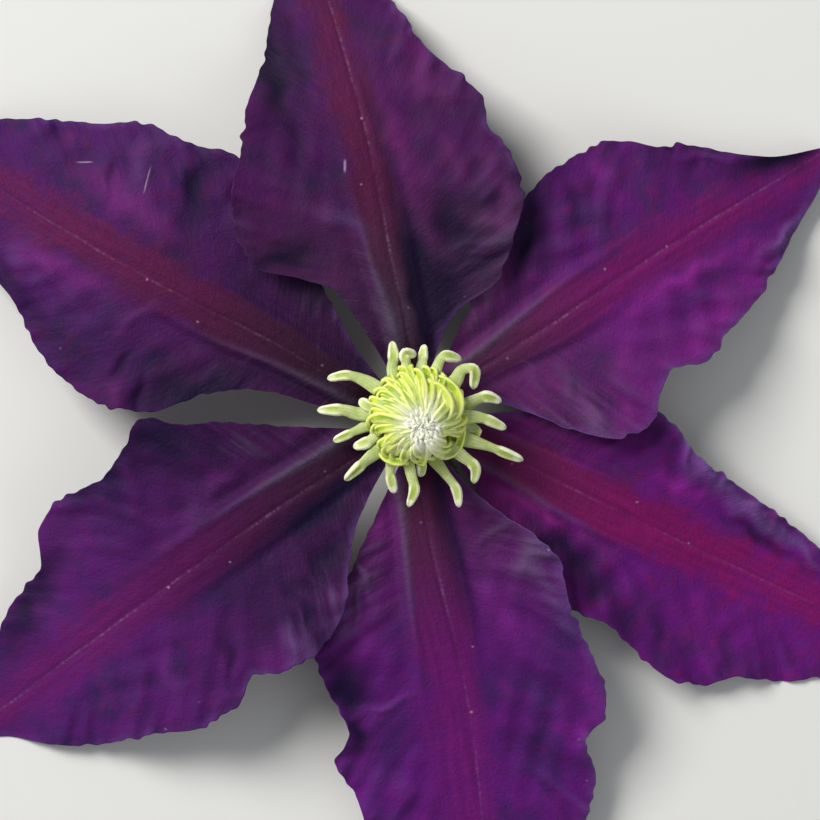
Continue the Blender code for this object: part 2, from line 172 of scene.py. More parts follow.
def mixed(factor, first, second, blend="MIX"):
    """One colour over another by a factor."""
    first, second = (value if isinstance(value, Wire) else (*value, 1) for value in (first, second))
    return node("Mix", {0: factor, 6: first, 7: second}, data_type="RGBA", blend_type=blend)[2]


def grain(where, scale, detail=2, roughness=0.5):
    """Noise about 0.5, with so many grains to the unit of `where`."""
    return node("TexNoise", {"Vector": where, "Scale": scale, "Detail": detail, "Roughness": roughness})[0]


def stretched(where, *scale):
    return node("Mapping", {"Vector": where, "Scale": scale})[0]


def split(vector):
    return node("SeparateXYZ", {"Vector": vector})


def new_material(name, roughness, **constants):
    """A Principled material, with constants set on its shader's own sockets. Gives both."""
    material = bpy.data.materials.new(name)
    material.use_nodes = True
    shader = material.node_tree.nodes["Principled BSDF"]
    for socket, value in dict(Roughness=roughness, **constants).items():
        shader.inputs[socket.replace("_", " ")].default_value = value
    return material, shader


def place_on(shader):
    """Where a point lies in its object, in metres."""
    return node("TexCoord", {}, shader.id_data)[3]


def stored(shader, name):
    """What `store` kept under a name."""
    return node("Attribute", {}, shader.id_data, attribute_name=name)[1]


def feed(shader, socket, wire):
    shader.id_data.links.new(wire.socket, shader.inputs[socket])


def bumped(shader, height, depth):
    """Relief of a depth in metres from a height of 0 to 1."""
    feed(shader, "Normal", node("Bump", {"Height": height, "Distance": depth, "Strength": 1})[0])


def stalk_course(points, count):
    """The stalk's middle line, the radius along it, and the level direction square to it."""
    out, up, radius = curve_through(points, count).T
    level = np.radians(STALK_TURN + 90)
    return spot(STALK_TURN, out, up), radius, np.array([math.cos(level), math.sin(level), 0])


def stalk_body():
    """The stalk: a round section, six-angled by r * (1 + 0.05 cos 6 a), carried along its bent line."""
    centre, radius, across = stalk_course(STALK_LINE, 170)
    a = angles(STALK_SIDES)
    angled = radius[:, None] * (1 + SIX_ANGLED * np.cos(6 * a) * (radius < STALK_THICKEST)[:, None])
    return tubes("stalk_and_receptacle", centre[None], across, angled[None], angled[None], STALK_SIDES)


def stalk_down(count):
    """Down: hairs of 0.3 to 0.6 mm that stand off the stalk, at random places, leaning towards the flower."""
    draw = np.random.default_rng(11)
    centre, radius, across = stalk_course(STALK_LINE[:DOWNY_POINTS], 400)
    row = draw.integers(4, 396, count)
    around = draw.uniform(0, 2 * math.pi, count)
    ahead = np.gradient(centre, axis=0)[row]
    ahead /= np.linalg.norm(ahead, axis=1)[:, None]
    off = np.cos(around)[:, None] * across + np.sin(around)[:, None] * np.cross(ahead, across)
    root = centre[row] + off * 0.97 * radius[row, None]
    long = draw.uniform(0.3, 0.6, count)[:, None]
    bend = ahead * draw.uniform(0.2, 0.9, count)[:, None]
    path = np.stack([root, root + long * (0.55 * off + 0.2 * bend), root + long * (off + 0.8 * bend)], axis=1)
    path[..., 2] = np.maximum(path[..., 2], 0.04)  # none reaches below the flower
    taper = np.array([0.03, 0.022, 0.006])[None, :, None]
    return tubes("stalk_down", path, np.cross(off, ahead)[:, None], taper, taper, 3)


stalk_green, shader = new_material("stalk_green", 0.5, Subsurface_Weight=0.15, Subsurface_Scale=0.0006)
here = place_on(shader)
streaks = grain(stretched(stored(shader, "tube"), 3, 9, 9), 1.6, 4)
flush = between(grain(here, 160, 3), 0.46, 0.7)
green = mixed(between(streaks, 0.35, 0.65), (0.105, 0.19, 0.035), (0.235, 0.345, 0.095))
feed(shader, "Base Color", mixed(flush, green, (0.12, 0.06, 0.065)))
feed(shader, "Roughness", between(streaks, 0.3, 0.7, 0.58, 0.42))
bumped(shader, grain(here, 2600, 3), 0.00008)

down_white, shader = new_material("down_white", 0.6, Sheen_Weight=0.3)
tone = between(stored(shader, "tube"), 0, 1)
feed(shader, "Base Color", mixed(tone, (0.36, 0.44, 0.24), (0.7, 0.72, 0.62)))

stalk = stalk_body()
stalk.data.materials.append(stalk_green)
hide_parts("stalk")
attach(stalk, "root")

down = stalk_down(STALK_HAIRS)
down.data.materials.append(down_white)
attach(down, "root")


# ---- Tepals ----
# Six petal-like tepals, velvety on the face, each with a crimson bar between raised ribs and a waved margin.
# Each grows from the receptacle's side by a narrow claw. Further out they overlap in three layers.

CLAW_ROOT = 2.8  # distance from the axis at which the free part of a tepal begins
CLAW_FOOT = 2.1  # distance at which it is rooted in the receptacle
CLAW_WIDTH = 0.85  # half width at the root
CLAW_TOP = 7.8  # height of the claw's upper side
SOLID_BLADE = 0.8  # thickness by which the heights are set; the leaf itself is thinner
LEAF = 0.36
MARGIN = 0.15  # thickness at the margin
CLAW_THICKER = 0.45  # what the claw has on top of the leaf's thickness
TIP = 0.6  # half width of the tip
TIP_STEP = 0.55  # how far the outer half of a tepal that rests on its tip is let down
LAYER = 1.6  # how far a layer lies above the next
HUMP = 2  # rise of the arch above a straight fall from claw to tip
CUP, DROOP = 1, 1.4  # rise of the margin near the claw, and how much lower it lies further out
FOLD, FOLD_PITCH = 0.5, 9  # height and pitch of the slanting folds
RAGGED = 0.34  # fine waves in the outline
BAR_STEP, CREASE, GROOVE = 0.5, 0.4, 0.14  # how high the bar stands, and how deep its creases and nerve are
PLEAT, CRIMP, QUILT, FRILL, CRINKLE = 0.28, 0.12, 0.28, 0.34, 0.025  # heights of the fine relief
MIDDLE_RIB, SIDE_RIB = 0.42, 0.3  # how far the ribs on the back stand out
TEPAL_ROWS = 226
TEPAL_COLUMNS = 124

# turn: direction of the tip. swing: how far the claw stands ahead of it. reach: axis to tip. layer: 1 on
# top. tip: height of the tip's upper side. bow: sideways bend of the midrib. left and right: percent of the
# reach and the half width there. curls: margins that turn up (side: 1 left, -1 right; from and to, in
# percent; rise). ribs: distance of the left and the right side rib from the middle, near the claw and at 0.4
# of the reach. nerve: place of the midrib's pale line across the blade, near the claw and far out, and how
# clear it is. crests and creases: how pale the left and the right rib are, partly a paler colour of their own
# and partly a painted highlight on the side that faces the light, and how dark the painted shade in the
# groove
# outside each is. light: painted light and shade, as brightness near the claw, in the middle and far out.
# rims: how pale the left and the right rim are. folds: distance out, place across, slant to the midrib in
# degrees, half length, half width, rise, tone (painted highlight above 0, painted shade and shadow below)
# and, if there is any, a painted glow of light in clear violet. marks: scratches, by the same first five
# numbers.
# Colours, in thousandths: bar, violet and dusk of the blade, claw. They differ from tepal to tepal partly by
# the tepals' own variety and partly by painted light and shade: lighter on tepals 2, 3 and 4, darker on 1, 5
# and 6.
TEPALS = (dict(
    turn=103.4, swing=-5, reach=59.4, layer=1, tip=0.8, bow=-1,
    left=((8, 2), (20, 4.5), (27, 6), (31, 9.5), (35, 14), (43, 15.5), (50, 15), (57, 13), (66, 11),
        (75, 7.8), (85, 5.4), (93, 2.9)),
    right=((8, 2.2), (16, 5.2), (19, 7.4), (22, 12), (28, 15), (38, 18), (46, 17.5), (52, 15.8), (57, 16),
        (62, 14.4), (70, 10.9), (80, 8.6), (90, 4.5)),
    curls=((1, 26, 74, 1.4),), ribs=((0.9, 2), (2.4, 2.9)), nerve=(-0.5, -1, 0.6), crests=(0.8, 0.1),
    creases=(0.15, 1), light=(0.82, 0.78, 0.95), rims=(0.3, 0.8),
    folds=((20.5, -8.6, 28, 5, 1.8, -0.8, -1.1), (19.5, -14.3, 75, 2.6, 1.6, 0.4, 0.2, 0.65),
        (17.6, -11.5, 82, 3.6, 0.5, 0.3, 0.4), (16, -10, 84, 3.2, 0.4, -0.3, -0.45),
        (21, 11, 95, 3.4, 1.2, -0.4, -0.85), (24, 4.2, 45, 3.6, 1.2, 0.3, 0.6),
        (27.5, -11, 20, 3.6, 1.2, 0.3, 0, 0.55), (30, -4.6, 5, 9, 1.4, 0.2, 0, 0.45),
        (34, -10, 75, 4.5, 1.2, -0.4, -0.35), (38, 7, 5, 9, 1.2, -0.4, -0.5),
        (40, 10.5, 70, 3, 1, 0.4, 0.1, 0.2), (14, -3.2, -8, 6, 1.3, -0.2, -1.2),
        (14.5, -6.6, 30, 3.5, 2.6, -0.4, -1.2), (27, -2.6, 0, 12, 0.9, -0.1, -0.6),
        (45, 7.2, -6, 8, 2.2, -0.2, -1.1), (21.5, 8, 60, 6, 3.4, -0.2, -0.45),
        (11.5, 1.9, 0, 4, 0.8, 0.1, 0.5), (24, -15.5, 10, 4, 1.4, 0.1, 0.1, 0.7),
        (11.2, -4.8, 30, 3.5, 1.7, -0.3, -1.2), (24, -6.3, 0, 4, 1.5, 0.1, 0, 0.6),
        (38.5, -9.5, 0, 5, 2.5, 0, 0, 0.7), (42.5, 4.4, 0, 8, 1, -0.1, -0.5)),
    marks=((30, 2.2, -12, 0.8, 0.16),),
    bar=(90, 8, 52), violet=(62, 8, 86), dusk=(36, 12, 62), claw=(60, 28, 62),
), dict(
    turn=32.6, swing=4.6, reach=57.5, layer=0, tip=2.1, bow=0.4,
    left=((8, 2), (15, 4.6), (22, 7.2), (30, 10.5), (40, 14), (50, 15.5), (60, 15.3), (66, 13.6),
        (70, 11.4), (76, 9.6), (82, 6.3), (90, 2.8)),
    right=((8, 1.8), (15, 4.6), (20, 8.2), (26, 12.4), (33, 15.2), (39, 15.5), (44, 12.9), (49, 11.5),
        (55, 12.9), (62, 11.4), (70, 10.2), (78, 8), (86, 5.4), (93, 3.4)),
    curls=((1, 84, 99, 0.8),), ribs=((1.7, 3.5), (1.2, 2.2)), nerve=(0, 0.4, 0.6), crests=(1, 0.15),
    creases=(0.1, 0.3), light=(1, 1.1, 1.15), rims=(0.1, 1),
    folds=((16.5, -6.2, 78, 2.6, 0.8, 0.3, 0.4), (16.8, -12.4, 88, 3.4, 1.4, 0.6, 0.95, 0.3),
        (20.6, -12.4, 75, 2.8, 1, -0.3, 0.15, 0.3), (13.5, -5, 80, 2, 0.6, 0.2, 0.25),
        (41.5, 9.8, -24, 5, 1.1, -0.6, -0.45), (45, 6.9, -32, 5.2, 0.6, 0.5, 0.35),
        (33.5, 12, 80, 3, 1.2, 0.4, 0.1, 0.4), (29, 11.5, 70, 3.6, 1, -0.3, -0.35),
        (48, -5.3, 11, 4.2, 0.6, 0.5, 1.3), (46.5, -6.9, 13, 3.4, 0.5, -0.3, -0.5),
        (35.2, -3.5, -4, 7, 0.9, 0.2, 0.05, 0.95), (23, -9, 60, 4, 1.4, 0.2, 0, 0.35),
        (14.4, 7.3, 38, 3.2, 1.2, 0.3, 0.8, 1.3), (24.5, 13.2, 38, 6.2, 2.4, -0.4, -1),
        (51, 2.6, -14, 5, 1.7, -0.1, -1.2), (45, 6.4, -25, 6, 1.8, -0.1, -0.5),
        (20.5, 9.2, 38, 3.4, 1.8, -0.3, -0.8), (34, -10, 20, 6, 2.2, 0.1, 0.1, 0.7),
        (41, -8, 30, 4, 2, 0, 0.1, 0.5)),
    bar=(134, 7, 100), violet=(88, 8, 124), dusk=(52, 13, 90), claw=(80, 18, 62),
), dict(
    turn=-25.2, swing=2.4, reach=61.5, layer=-1, tip=0.8, bow=0,
    left=((8, 2), (15, 4.5), (22, 7), (30, 10.2), (40, 12.4), (46, 11.4), (51, 9.7), (60, 8.6), (70, 7.5),
        (80, 6), (90, 3.6)),
    right=((8, 2), (15, 4.8), (22, 7.6), (30, 10.6), (40, 12.9), (49, 12.6), (57, 14.2), (65, 15.3),
        (71, 14.4), (76, 11.9), (84, 10.2), (90, 8.1), (95, 5.5)),
    curls=((1, 48, 84, 1.5),), ribs=((2.2, 3), (2.2, 3.4)), nerve=(0, -0.2, 0.35), crests=(0.4, 0.6),
    creases=(0.45, 0.15), light=(1.05, 1.15, 1.38), rims=(1, 0.5),
    folds=((25, -8, -28, 4.2, 2, -0.8, -0.8), (29.3, -11.2, 60, 2.2, 1.3, 0.3, 0.5),
        (17.5, -3.9, -3, 6, 0.7, 0.1, 0.35, 0.8), (30, 9.9, -58, 2.2, 0.5, 0.5, 0.6),
        (20, -6.6, -12, 4, 1.3, -0.5, -0.95), (29.5, 7.2, -70, 3, 1, -0.3, -0.5),
        (34.8, 7.8, -10, 3.8, 1.2, 0.5, 0.8), (30.8, -10.9, -30, 5, 1.9, -0.3, -0.7),
        (43, 4, -8, 5, 0.6, -0.4, -0.8), (42, 5.7, -9, 5, 0.9, 0.6, 1.3), (31.5, 5.4, 0, 3, 1, 0.2, 0, 0.7),
        (40, -7.6, -60, 3, 1, 0.2, 0, 0.35), (36.5, -11, -70, 2.6, 0.9, -0.3, -0.5),
        (45, -9.4, -65, 3, 1, -0.3, -0.35), (24, 10, 10, 4, 1.6, -0.2, -0.6),
        (30.5, 10, -24, 4.5, 0.5, 0, 1), (38, 7.5, -14, 4.5, 0.4, 0, 1.1),
        (46.5, 5.4, -20, 4.5, 0.4, 0, 1.1)),
    bar=(160, 5, 88), violet=(100, 6, 140), dusk=(62, 10, 100), claw=(90, 8, 58),
), dict(
    turn=-82.2, swing=-0.6, reach=62.1, layer=0, tip=1.7, bow=0.6,
    left=((8, 2.2), (15, 5.2), (20, 8.1), (25, 11.6), (31, 14.2), (38, 14.5), (48, 16.2), (56, 17.4),
        (61, 16.8), (65, 14.2), (71, 15), (80, 13), (90, 8.5), (96, 4.8)),
    right=((8, 2.4), (15, 5.2), (22, 8), (30, 11.2), (37, 14), (43, 15.4), (50, 14.3), (57, 12.8),
        (63, 14.9), (69, 13.1), (80, 11.8), (90, 7.5), (96, 4.2)),
    curls=((-1, 52, 62, 1),), ribs=((1.3, 2.4), (3.2, 4.1)), nerve=(-0.7, 0.9, 0.5), crests=(0, 0.9),
    creases=(1, 0.1), light=(1, 1.02, 1.3), rims=(1, 0.2),
    folds=((30.5, -12.4, 6, 4.4, 3, -0.9, -1.3), (33, -8.6, 106, 2.6, 0.4, 0.4, 0.6),
        (34.2, -13.3, 15, 1.8, 0.7, 0.8, 1.3), (36.4, -12.2, 20, 2.8, 1.3, -0.6, -1.2),
        (16.8, -8.8, 12, 3.4, 0.5, 0.3, 0.6), (20.3, -9.6, -12, 3, 0.4, 0.3, 0.5),
        (23.7, -11.8, 60, 1.6, 0.9, 0.3, 0.55), (14.3, 7.2, 125, 2.4, 0.4, 0.3, 0.55),
        (17.8, 11, 118, 2.6, 1.5, 0.5, 1.2), (23.5, 13, 30, 4.4, 1.3, 0.4, 0.7),
        (39, 8, 75, 3.4, 1.4, -0.3, -0.4), (12, -5.4, 0, 4.5, 1, 0.2, 0.05, 0.5),
        (24, 6.4, 30, 6, 1.6, 0.2, 0, 0.45), (40, 13.6, 60, 3, 1.4, 0.3, 0.05, 0.45),
        (21.5, -11.4, 0, 5, 1.6, 0.1, 0.55, 0.5), (38.5, -11.6, 0, 2.5, 1.5, 0.2, 0.2, 0.5),
        (35.6, 16, 0, 5, 1.5, 0, 0.1, 0.6)),
    bar=(122, 7, 122), violet=(90, 7, 138), dusk=(52, 11, 104), claw=(68, 12, 44),
), dict(
    turn=-144.7, swing=1.9, reach=65.9, layer=1, tip=0.8, bow=-0.5,
    left=((8, 2), (15, 4.2), (21, 6.8), (26, 10.5), (31, 14), (39, 15.8), (46, 15.1), (50, 13.6),
        (55, 15.5), (62, 15.3), (70, 12.8), (80, 9.9), (87, 6.7), (93, 2.8)),
    right=((8, 2.2), (16, 6), (22, 9), (29, 12.6), (35, 15), (40, 18.2), (45, 16.6), (52, 15.1), (60, 16),
        (66, 14.6), (70, 10.8), (77, 9.6), (84, 7.2), (91, 4.6)),
    curls=(), ribs=((1.3, 2.3), (3, 3.5)), nerve=(-0.2, 0, 0.7), crests=(0.1, 1), creases=(1.1, 0.1),
    light=(0.76, 0.72, 1.22), rims=(0.8, 0.1),
    folds=((17.8, 7.4, 15, 4.2, 1.9, -0.5, -1.1), (19.2, 12.4, -30, 2.4, 1, 0.4, 0.35, 0.8),
        (23.8, 11.7, 87, 3.4, 0.5, -0.3, -0.75), (26.6, 13.3, 100, 2.8, 1.3, 0.4, 0.75),
        (34.2, 10.6, 65, 2.8, 0.6, -0.4, -0.8), (21.4, -10.4, 80, 5, 1.8, -0.2, -0.45),
        (41, 9, 72, 3.4, 1, 0.3, 0.15, 0.3), (25, -6.2, 10, 5, 1.2, 0.2, 0.35, 0.6),
        (13.5, -6, 15, 4, 1, 0.1, 0, 0.25), (20.6, 9, 84, 3.2, 0.4, 0.3, 0.35),
        (30, -13, 75, 3, 0.9, -0.3, -0.4), (46, 2, 5, 9, 1.6, 0.1, 0, 0.3),
        (25.6, -14.6, 105, 4.5, 2.8, -0.3, -1.2), (48.5, -8.8, 28, 8.5, 2.4, -0.2, -1.1),
        (33.5, -15.6, 10, 6, 1.8, -0.2, -0.8), (28.5, 8.6, 60, 5, 2.4, -0.2, -0.5),
        (15.5, 3, 12, 5, 1.2, -0.2, -1), (29.2, 14.6, 80, 3, 2, 0.1, 0.25, 0.7)),
    bar=(100, 7, 92), violet=(70, 8, 110), dusk=(36, 11, 80), claw=(44, 10, 36),
), dict(
    turn=150.6, swing=6.6, reach=67.5, layer=0, tip=2.3, bow=0.8,
    left=((8, 2), (15, 3.8), (22, 5.2), (29, 7.6), (35, 11), (40, 14.8), (50, 17), (58, 16.2), (65, 14),
        (70, 11.6), (80, 9), (90, 5)),
    right=((8, 2), (15, 4.2), (22, 6.8), (30, 9.6), (40, 13.4), (49, 16), (57, 14.6), (65, 14.2),
        (72, 11.6), (80, 9.2), (90, 5.5)),
    curls=((-1, 18, 66, -0.8),), ribs=((1.7, 3.5), (1.5, 2.4)), nerve=(0.2, 0.8, 0.45), crests=(0.75, 0.3),
    creases=(0.3, 0.45), light=(0.66, 0.7, 1.02), rims=(0.1, 0.7),
    folds=((42.2, -10.8, -74, 5, 1.5, 0.4, 0.45, 0.25), (35, -10, -71, 5, 1.4, -0.6, -1),
        (47.5, 7.6, -26, 5, 1.5, -0.2, 0.25), (50.5, 9, -20, 4, 1, -0.3, -0.5),
        (32.7, 11.9, 85, 1.8, 0.5, -0.5, -0.85), (29, 13.6, 108, 2.6, 0.6, -0.6, -0.35),
        (31, 15.4, 95, 2, 1.1, 0.3, 0.1, 0.6), (44, 5, 4, 8, 1.4, 0.1, 0, 0.75),
        (41, -5.4, -5, 8, 1.6, 0.2, 0, 0.85), (44.6, -7, -72, 2.6, 0.5, -0.3, -0.4),
        (34, 6, 60, 3.5, 0.8, 0.3, 0.15, 0.3), (23.5, 9.8, 42, 6.5, 2.2, -0.3, -1.3),
        (20, -8, 14, 6, 2.2, -0.2, -0.6), (29.5, 8.6, 20, 3.5, 1.5, -0.2, -0.4),
        (43, 12, -20, 8, 1.8, -0.2, -0.6)),
    marks=((40.7, -8.7, -74, 1.6, 0.1), (48.2, -6.9, 30, 1, 0.1)),
    bar=(102, 8, 62), violet=(62, 8, 100), dusk=(30, 11, 68), claw=(44, 13, 38),
))


def through(points, at):
    """A smooth curve through the points that never swings past them (monotone cubic), read at `at`."""
    x, y = np.array(points, float).T
    step = np.diff(x)
    slope = np.diff(y) / step
    before, after = slope[:-1], slope[1:]
    level = before * after <= 0
    inner = np.where(level, 0, 2 * before * after / np.where(level, 1, before + after))
    tangent = np.concatenate([slope[:1], inner, slope[-1:]])
    i = np.clip(np.searchsorted(x, at, side="right") - 1, 0, len(step) - 1)
    t = (at - x[i]) / step[i]
    return (
        (1 + 2 * t) * (1 - t) ** 2 * y[i]
        + t * (1 - t) ** 2 * step[i] * tangent[i]
        + t * t * (3 - 2 * t) * y[i + 1]
        + t * t * (t - 1) * step[i] * tangent[i + 1]
    )


def ease(value, low, high):
    """0 below low, 1 above high and smooth between them."""
    t = np.clip((value - low) / (high - low), 0, 1)
    return t * t * (3 - 2 * t)


def bell(value, width):
    """1 at 0, and e^-(value / width)^2 away from it."""
    return np.exp(-((value / width) ** 2))


def waves(along, pitches, seed):
    """Uneven waves from -1 to 1: sines of these pitches, each from a place of its own, averaged."""
    starts = np.random.default_rng(seed).uniform(0, 2 * math.pi, len(pitches))
    total = sum(np.sin(2 * math.pi * along / pitch + start) for pitch, start in zip(pitches, starts))
    return total / len(pitches)


def sided(side, left, right):
    return np.where(side > 0, left, right)


def half_width(outline, first, share, ragged, fine):
    """Half width on one side of the midrib, with the fine waves of its margin."""
    points = ((first, CLAW_WIDTH), *(np.array(outline) / (100, 1)), (1, TIP))
    half = through(points, np.maximum(share, first))
    return half + RAGGED * ragged * fine * ease(half, 3, 9)


def cover_height(plan, share, run, side, edge, out):
    """Height of a tepal's face.

    Claw to tip it runs out in an arch. Where tepals overlap it rides in its layer. Slanting folds grow
    towards the margin, which is cupped near the claw and droops further out, and may curl.
    """
    fall = (1 - run**2.4) ** 1.6
    height = plan["tip"] + (CLAW_TOP - plan["tip"]) * fall + HUMP * np.sin(math.pi * run) * fall**0.3
    height = height + plan["layer"] * LAYER * ease(share, 0.04, 0.18) * (1 - ease(share, 0.62, 0.92))
    turns = out / FOLD_PITCH - 0.55 * edge + 0.31 * side + 0.17 * plan["layer"]
    flat_tip = 1 - ease(share, 0.85, 0.95)
    calm = ease(share, 0.16, 0.34) * (0.35 + 0.65 * ease(share, 0.58, 0.7)) * flat_tip
    height = height + FOLD * np.sin(2 * math.pi * turns) * edge**1.6 * calm
    height = height + (CUP * ease(share, 0.12, 0.28) - DROOP * ease(share, 0.34, 0.66)) * edge**2 * flat_tip
    for where, *ends, rise in plan["curls"]:
        start, end = np.array(ends) / 100
        middle, half = (start + end) / 2, (end - start) / 2
        within = 1 - ease(np.abs(share - middle), 0.5 * half, half)
        height = height + (side == where) * rise * edge**4 * within
    return height


def rib_relief(plan, share, side, across, nerve):
    """Relief of the bar, distance of its side ribs from the middle, and tone: a pale rib, partly its own
    colour and partly painted highlight, and painted shade in the crease outside it.

    It stands a step above the blade between its side ribs, each a low ridge bell(d, 0.42 to 0.67) with a
    crease outside it, and has a fine groove along its nerve.
    """
    grown = ease(share, 0.12, 0.4)
    near, far = (sided(side, *pair) for pair in zip(*plan["ribs"]))
    rib = near + (far - near) * grown
    distance = np.abs(across)
    free = ease(share, 0.06, 0.13)
    step = BAR_STEP * (1 - ease(distance, rib, rib + 1.4))
    pale, painted_shade = sided(side, *plan["crests"]), sided(side, *plan["creases"])
    crease = bell(distance - rib - 0.2 - 1.3 * pale, 0.9 + 0.5 * grown)
    ridge = bell(distance - rib, 0.42 + 0.25 * (1 - grown))
    groove = -GROOVE * bell(across - nerve, 0.35) * (1 - ease(share, 0.7, 0.92))
    raised = step - CREASE * crease + (0.06 + 0.2 * pale) * ridge
    relief = free * (1 - ease(share, 0.3, 0.62)) * raised + groove * free
    # Tone: the rib's paleness, stronger as a painted highlight on the side facing the light, and painted
    # shade in the crease outside it.
    fading = ease(share, 0.06, 0.12) * (1 - ease(share, 0.26, 0.46))
    return relief, rib, fading * (0.85 * pale * ridge - 0.9 * painted_shade * crease)


def fold_field(plan, out, across, seed):
    """Height, tone (painted highlight and painted shade) and painted glow of light of the named folds: each a
    bell exp(-(p / long)^2 - (q / wide)^2).

    p runs along the fold and q across it. Slow waves bend all of them a little.
    """
    folds = [(*fold, 0)[:8] for fold in plan["folds"]]
    near, aside, slant, long, wide, rise, tone, painted_glow = np.array(folds, float).T[:, :, None, None]
    bent_out = out + 0.5 * waves(across, (4.3, 7.7), seed)
    bent_across = across + 0.45 * waves(out, (3.7, 6.1), seed + 1)
    turn = np.radians(slant)
    p = (bent_out - near) * np.cos(turn) + (bent_across - aside) * np.sin(turn)
    q = (bent_across - aside) * np.cos(turn) - (bent_out - near) * np.sin(turn)
    bell = np.exp(-((p / long) ** 2) - (q / wide) ** 2)
    return (bell * rise).sum(0), (bell * tone).sum(0), (bell * painted_glow).sum(0)


def vein_relief(share, out, side, across, half, edge, ragged, seed):
    """The phase, then pleats and finer crimps, quilting and the margin's frill, about -1 to 1 each.

    The phase is constant along a side vein and grows from each vein to the next. Pleats, crimps and frill
    are waves in it, so they follow the veins.
    """
    distance = np.abs(across)
    flat_tip = 1 - ease(share, 0.84, 0.94)
    slant = 0.3 + 0.75 * ease(share, 0.25, 0.85)
    phase = out - slant * distance - 1.6 * (1 - np.exp(-distance / 2.5))
    gather = sided(side, waves(out, (13, 21), seed + 3), waves(out, (12, 23), seed + 4))
    pleat = sided(
        side,
        waves(phase + 0.8 * gather, (2.7, 3.9, 6.1), seed + 5),
        waves(phase + 0.8 * gather, (2.5, 4.3, 5.7), seed + 6),
    )
    body = ease(edge, 0.22, 0.7) * (1 - 0.3 * ease(edge, 0.85, 1)) * ease(distance, 3.5, 6.5)
    near_claw = ease(share, 0.14, 0.24) * (1 - 0.45 * ease(share, 0.45, 0.62))
    pleat = pleat * (0.8 + 0.5 * gather) * body * near_claw * flat_tip
    crimp = waves(phase + 0.5 * gather, (1.25, 1.9, 1.6), seed + 9)
    crimp = crimp * ease(edge, 0.45, 0.75) * ease(distance, 3.5, 6) * ease(share, 0.16, 0.24)
    crimp = crimp * (1 - ease(share, 0.34, 0.5)) * (0.6 + 0.4 * waves(across, (5, 8), seed))
    quilt = waves(out + 0.5 * across, (7.1, 5.3), seed + 7) * waves(across - 0.3 * out, (6.4, 4.7), seed + 8)
    quilt = quilt * ease(distance, 2.5, 6) * ease(share, 0.2, 0.35) * flat_tip
    frill = sided(side, waves(phase, (2.3, 3.6), seed + 6), waves(phase, (2.1, 4), seed + 7))
    return phase, pleat, crimp, quilt, ragged * frill * edge**7 * ease(half, 3, 8) * flat_tip


def leaf_mesh(name, points):
    """A closed mesh from two grids of points, face and back, joined along all four edges."""
    top, low = np.arange(points[..., 0].size).reshape(points.shape[:3])
    corners = (
        (top[:-1, :-1], top[1:, :-1], top[1:, 1:], top[:-1, 1:]),
        (low[:-1, 1:], low[1:, 1:], low[1:, :-1], low[:-1, :-1]),
        (low[:-1, 0], low[1:, 0], top[1:, 0], top[:-1, 0]),
        (top[1:, -1], low[1:, -1], low[:-1, -1], top[:-1, -1]),
        (top[0, 1:], low[0, 1:], low[0, :-1], top[0, :-1]),
        (low[-1, :-1], low[-1, 1:], top[-1, 1:], top[-1, :-1]),
    )
    quads = np.concatenate([np.stack(four, -1).reshape(-1, 4) for four in corners])
    mesh = bpy.data.meshes.new(name)
    mesh.from_pydata((points.reshape(-1, 3) * MM).tolist(), [], quads.tolist())
    mesh.shade_smooth()
    return mesh


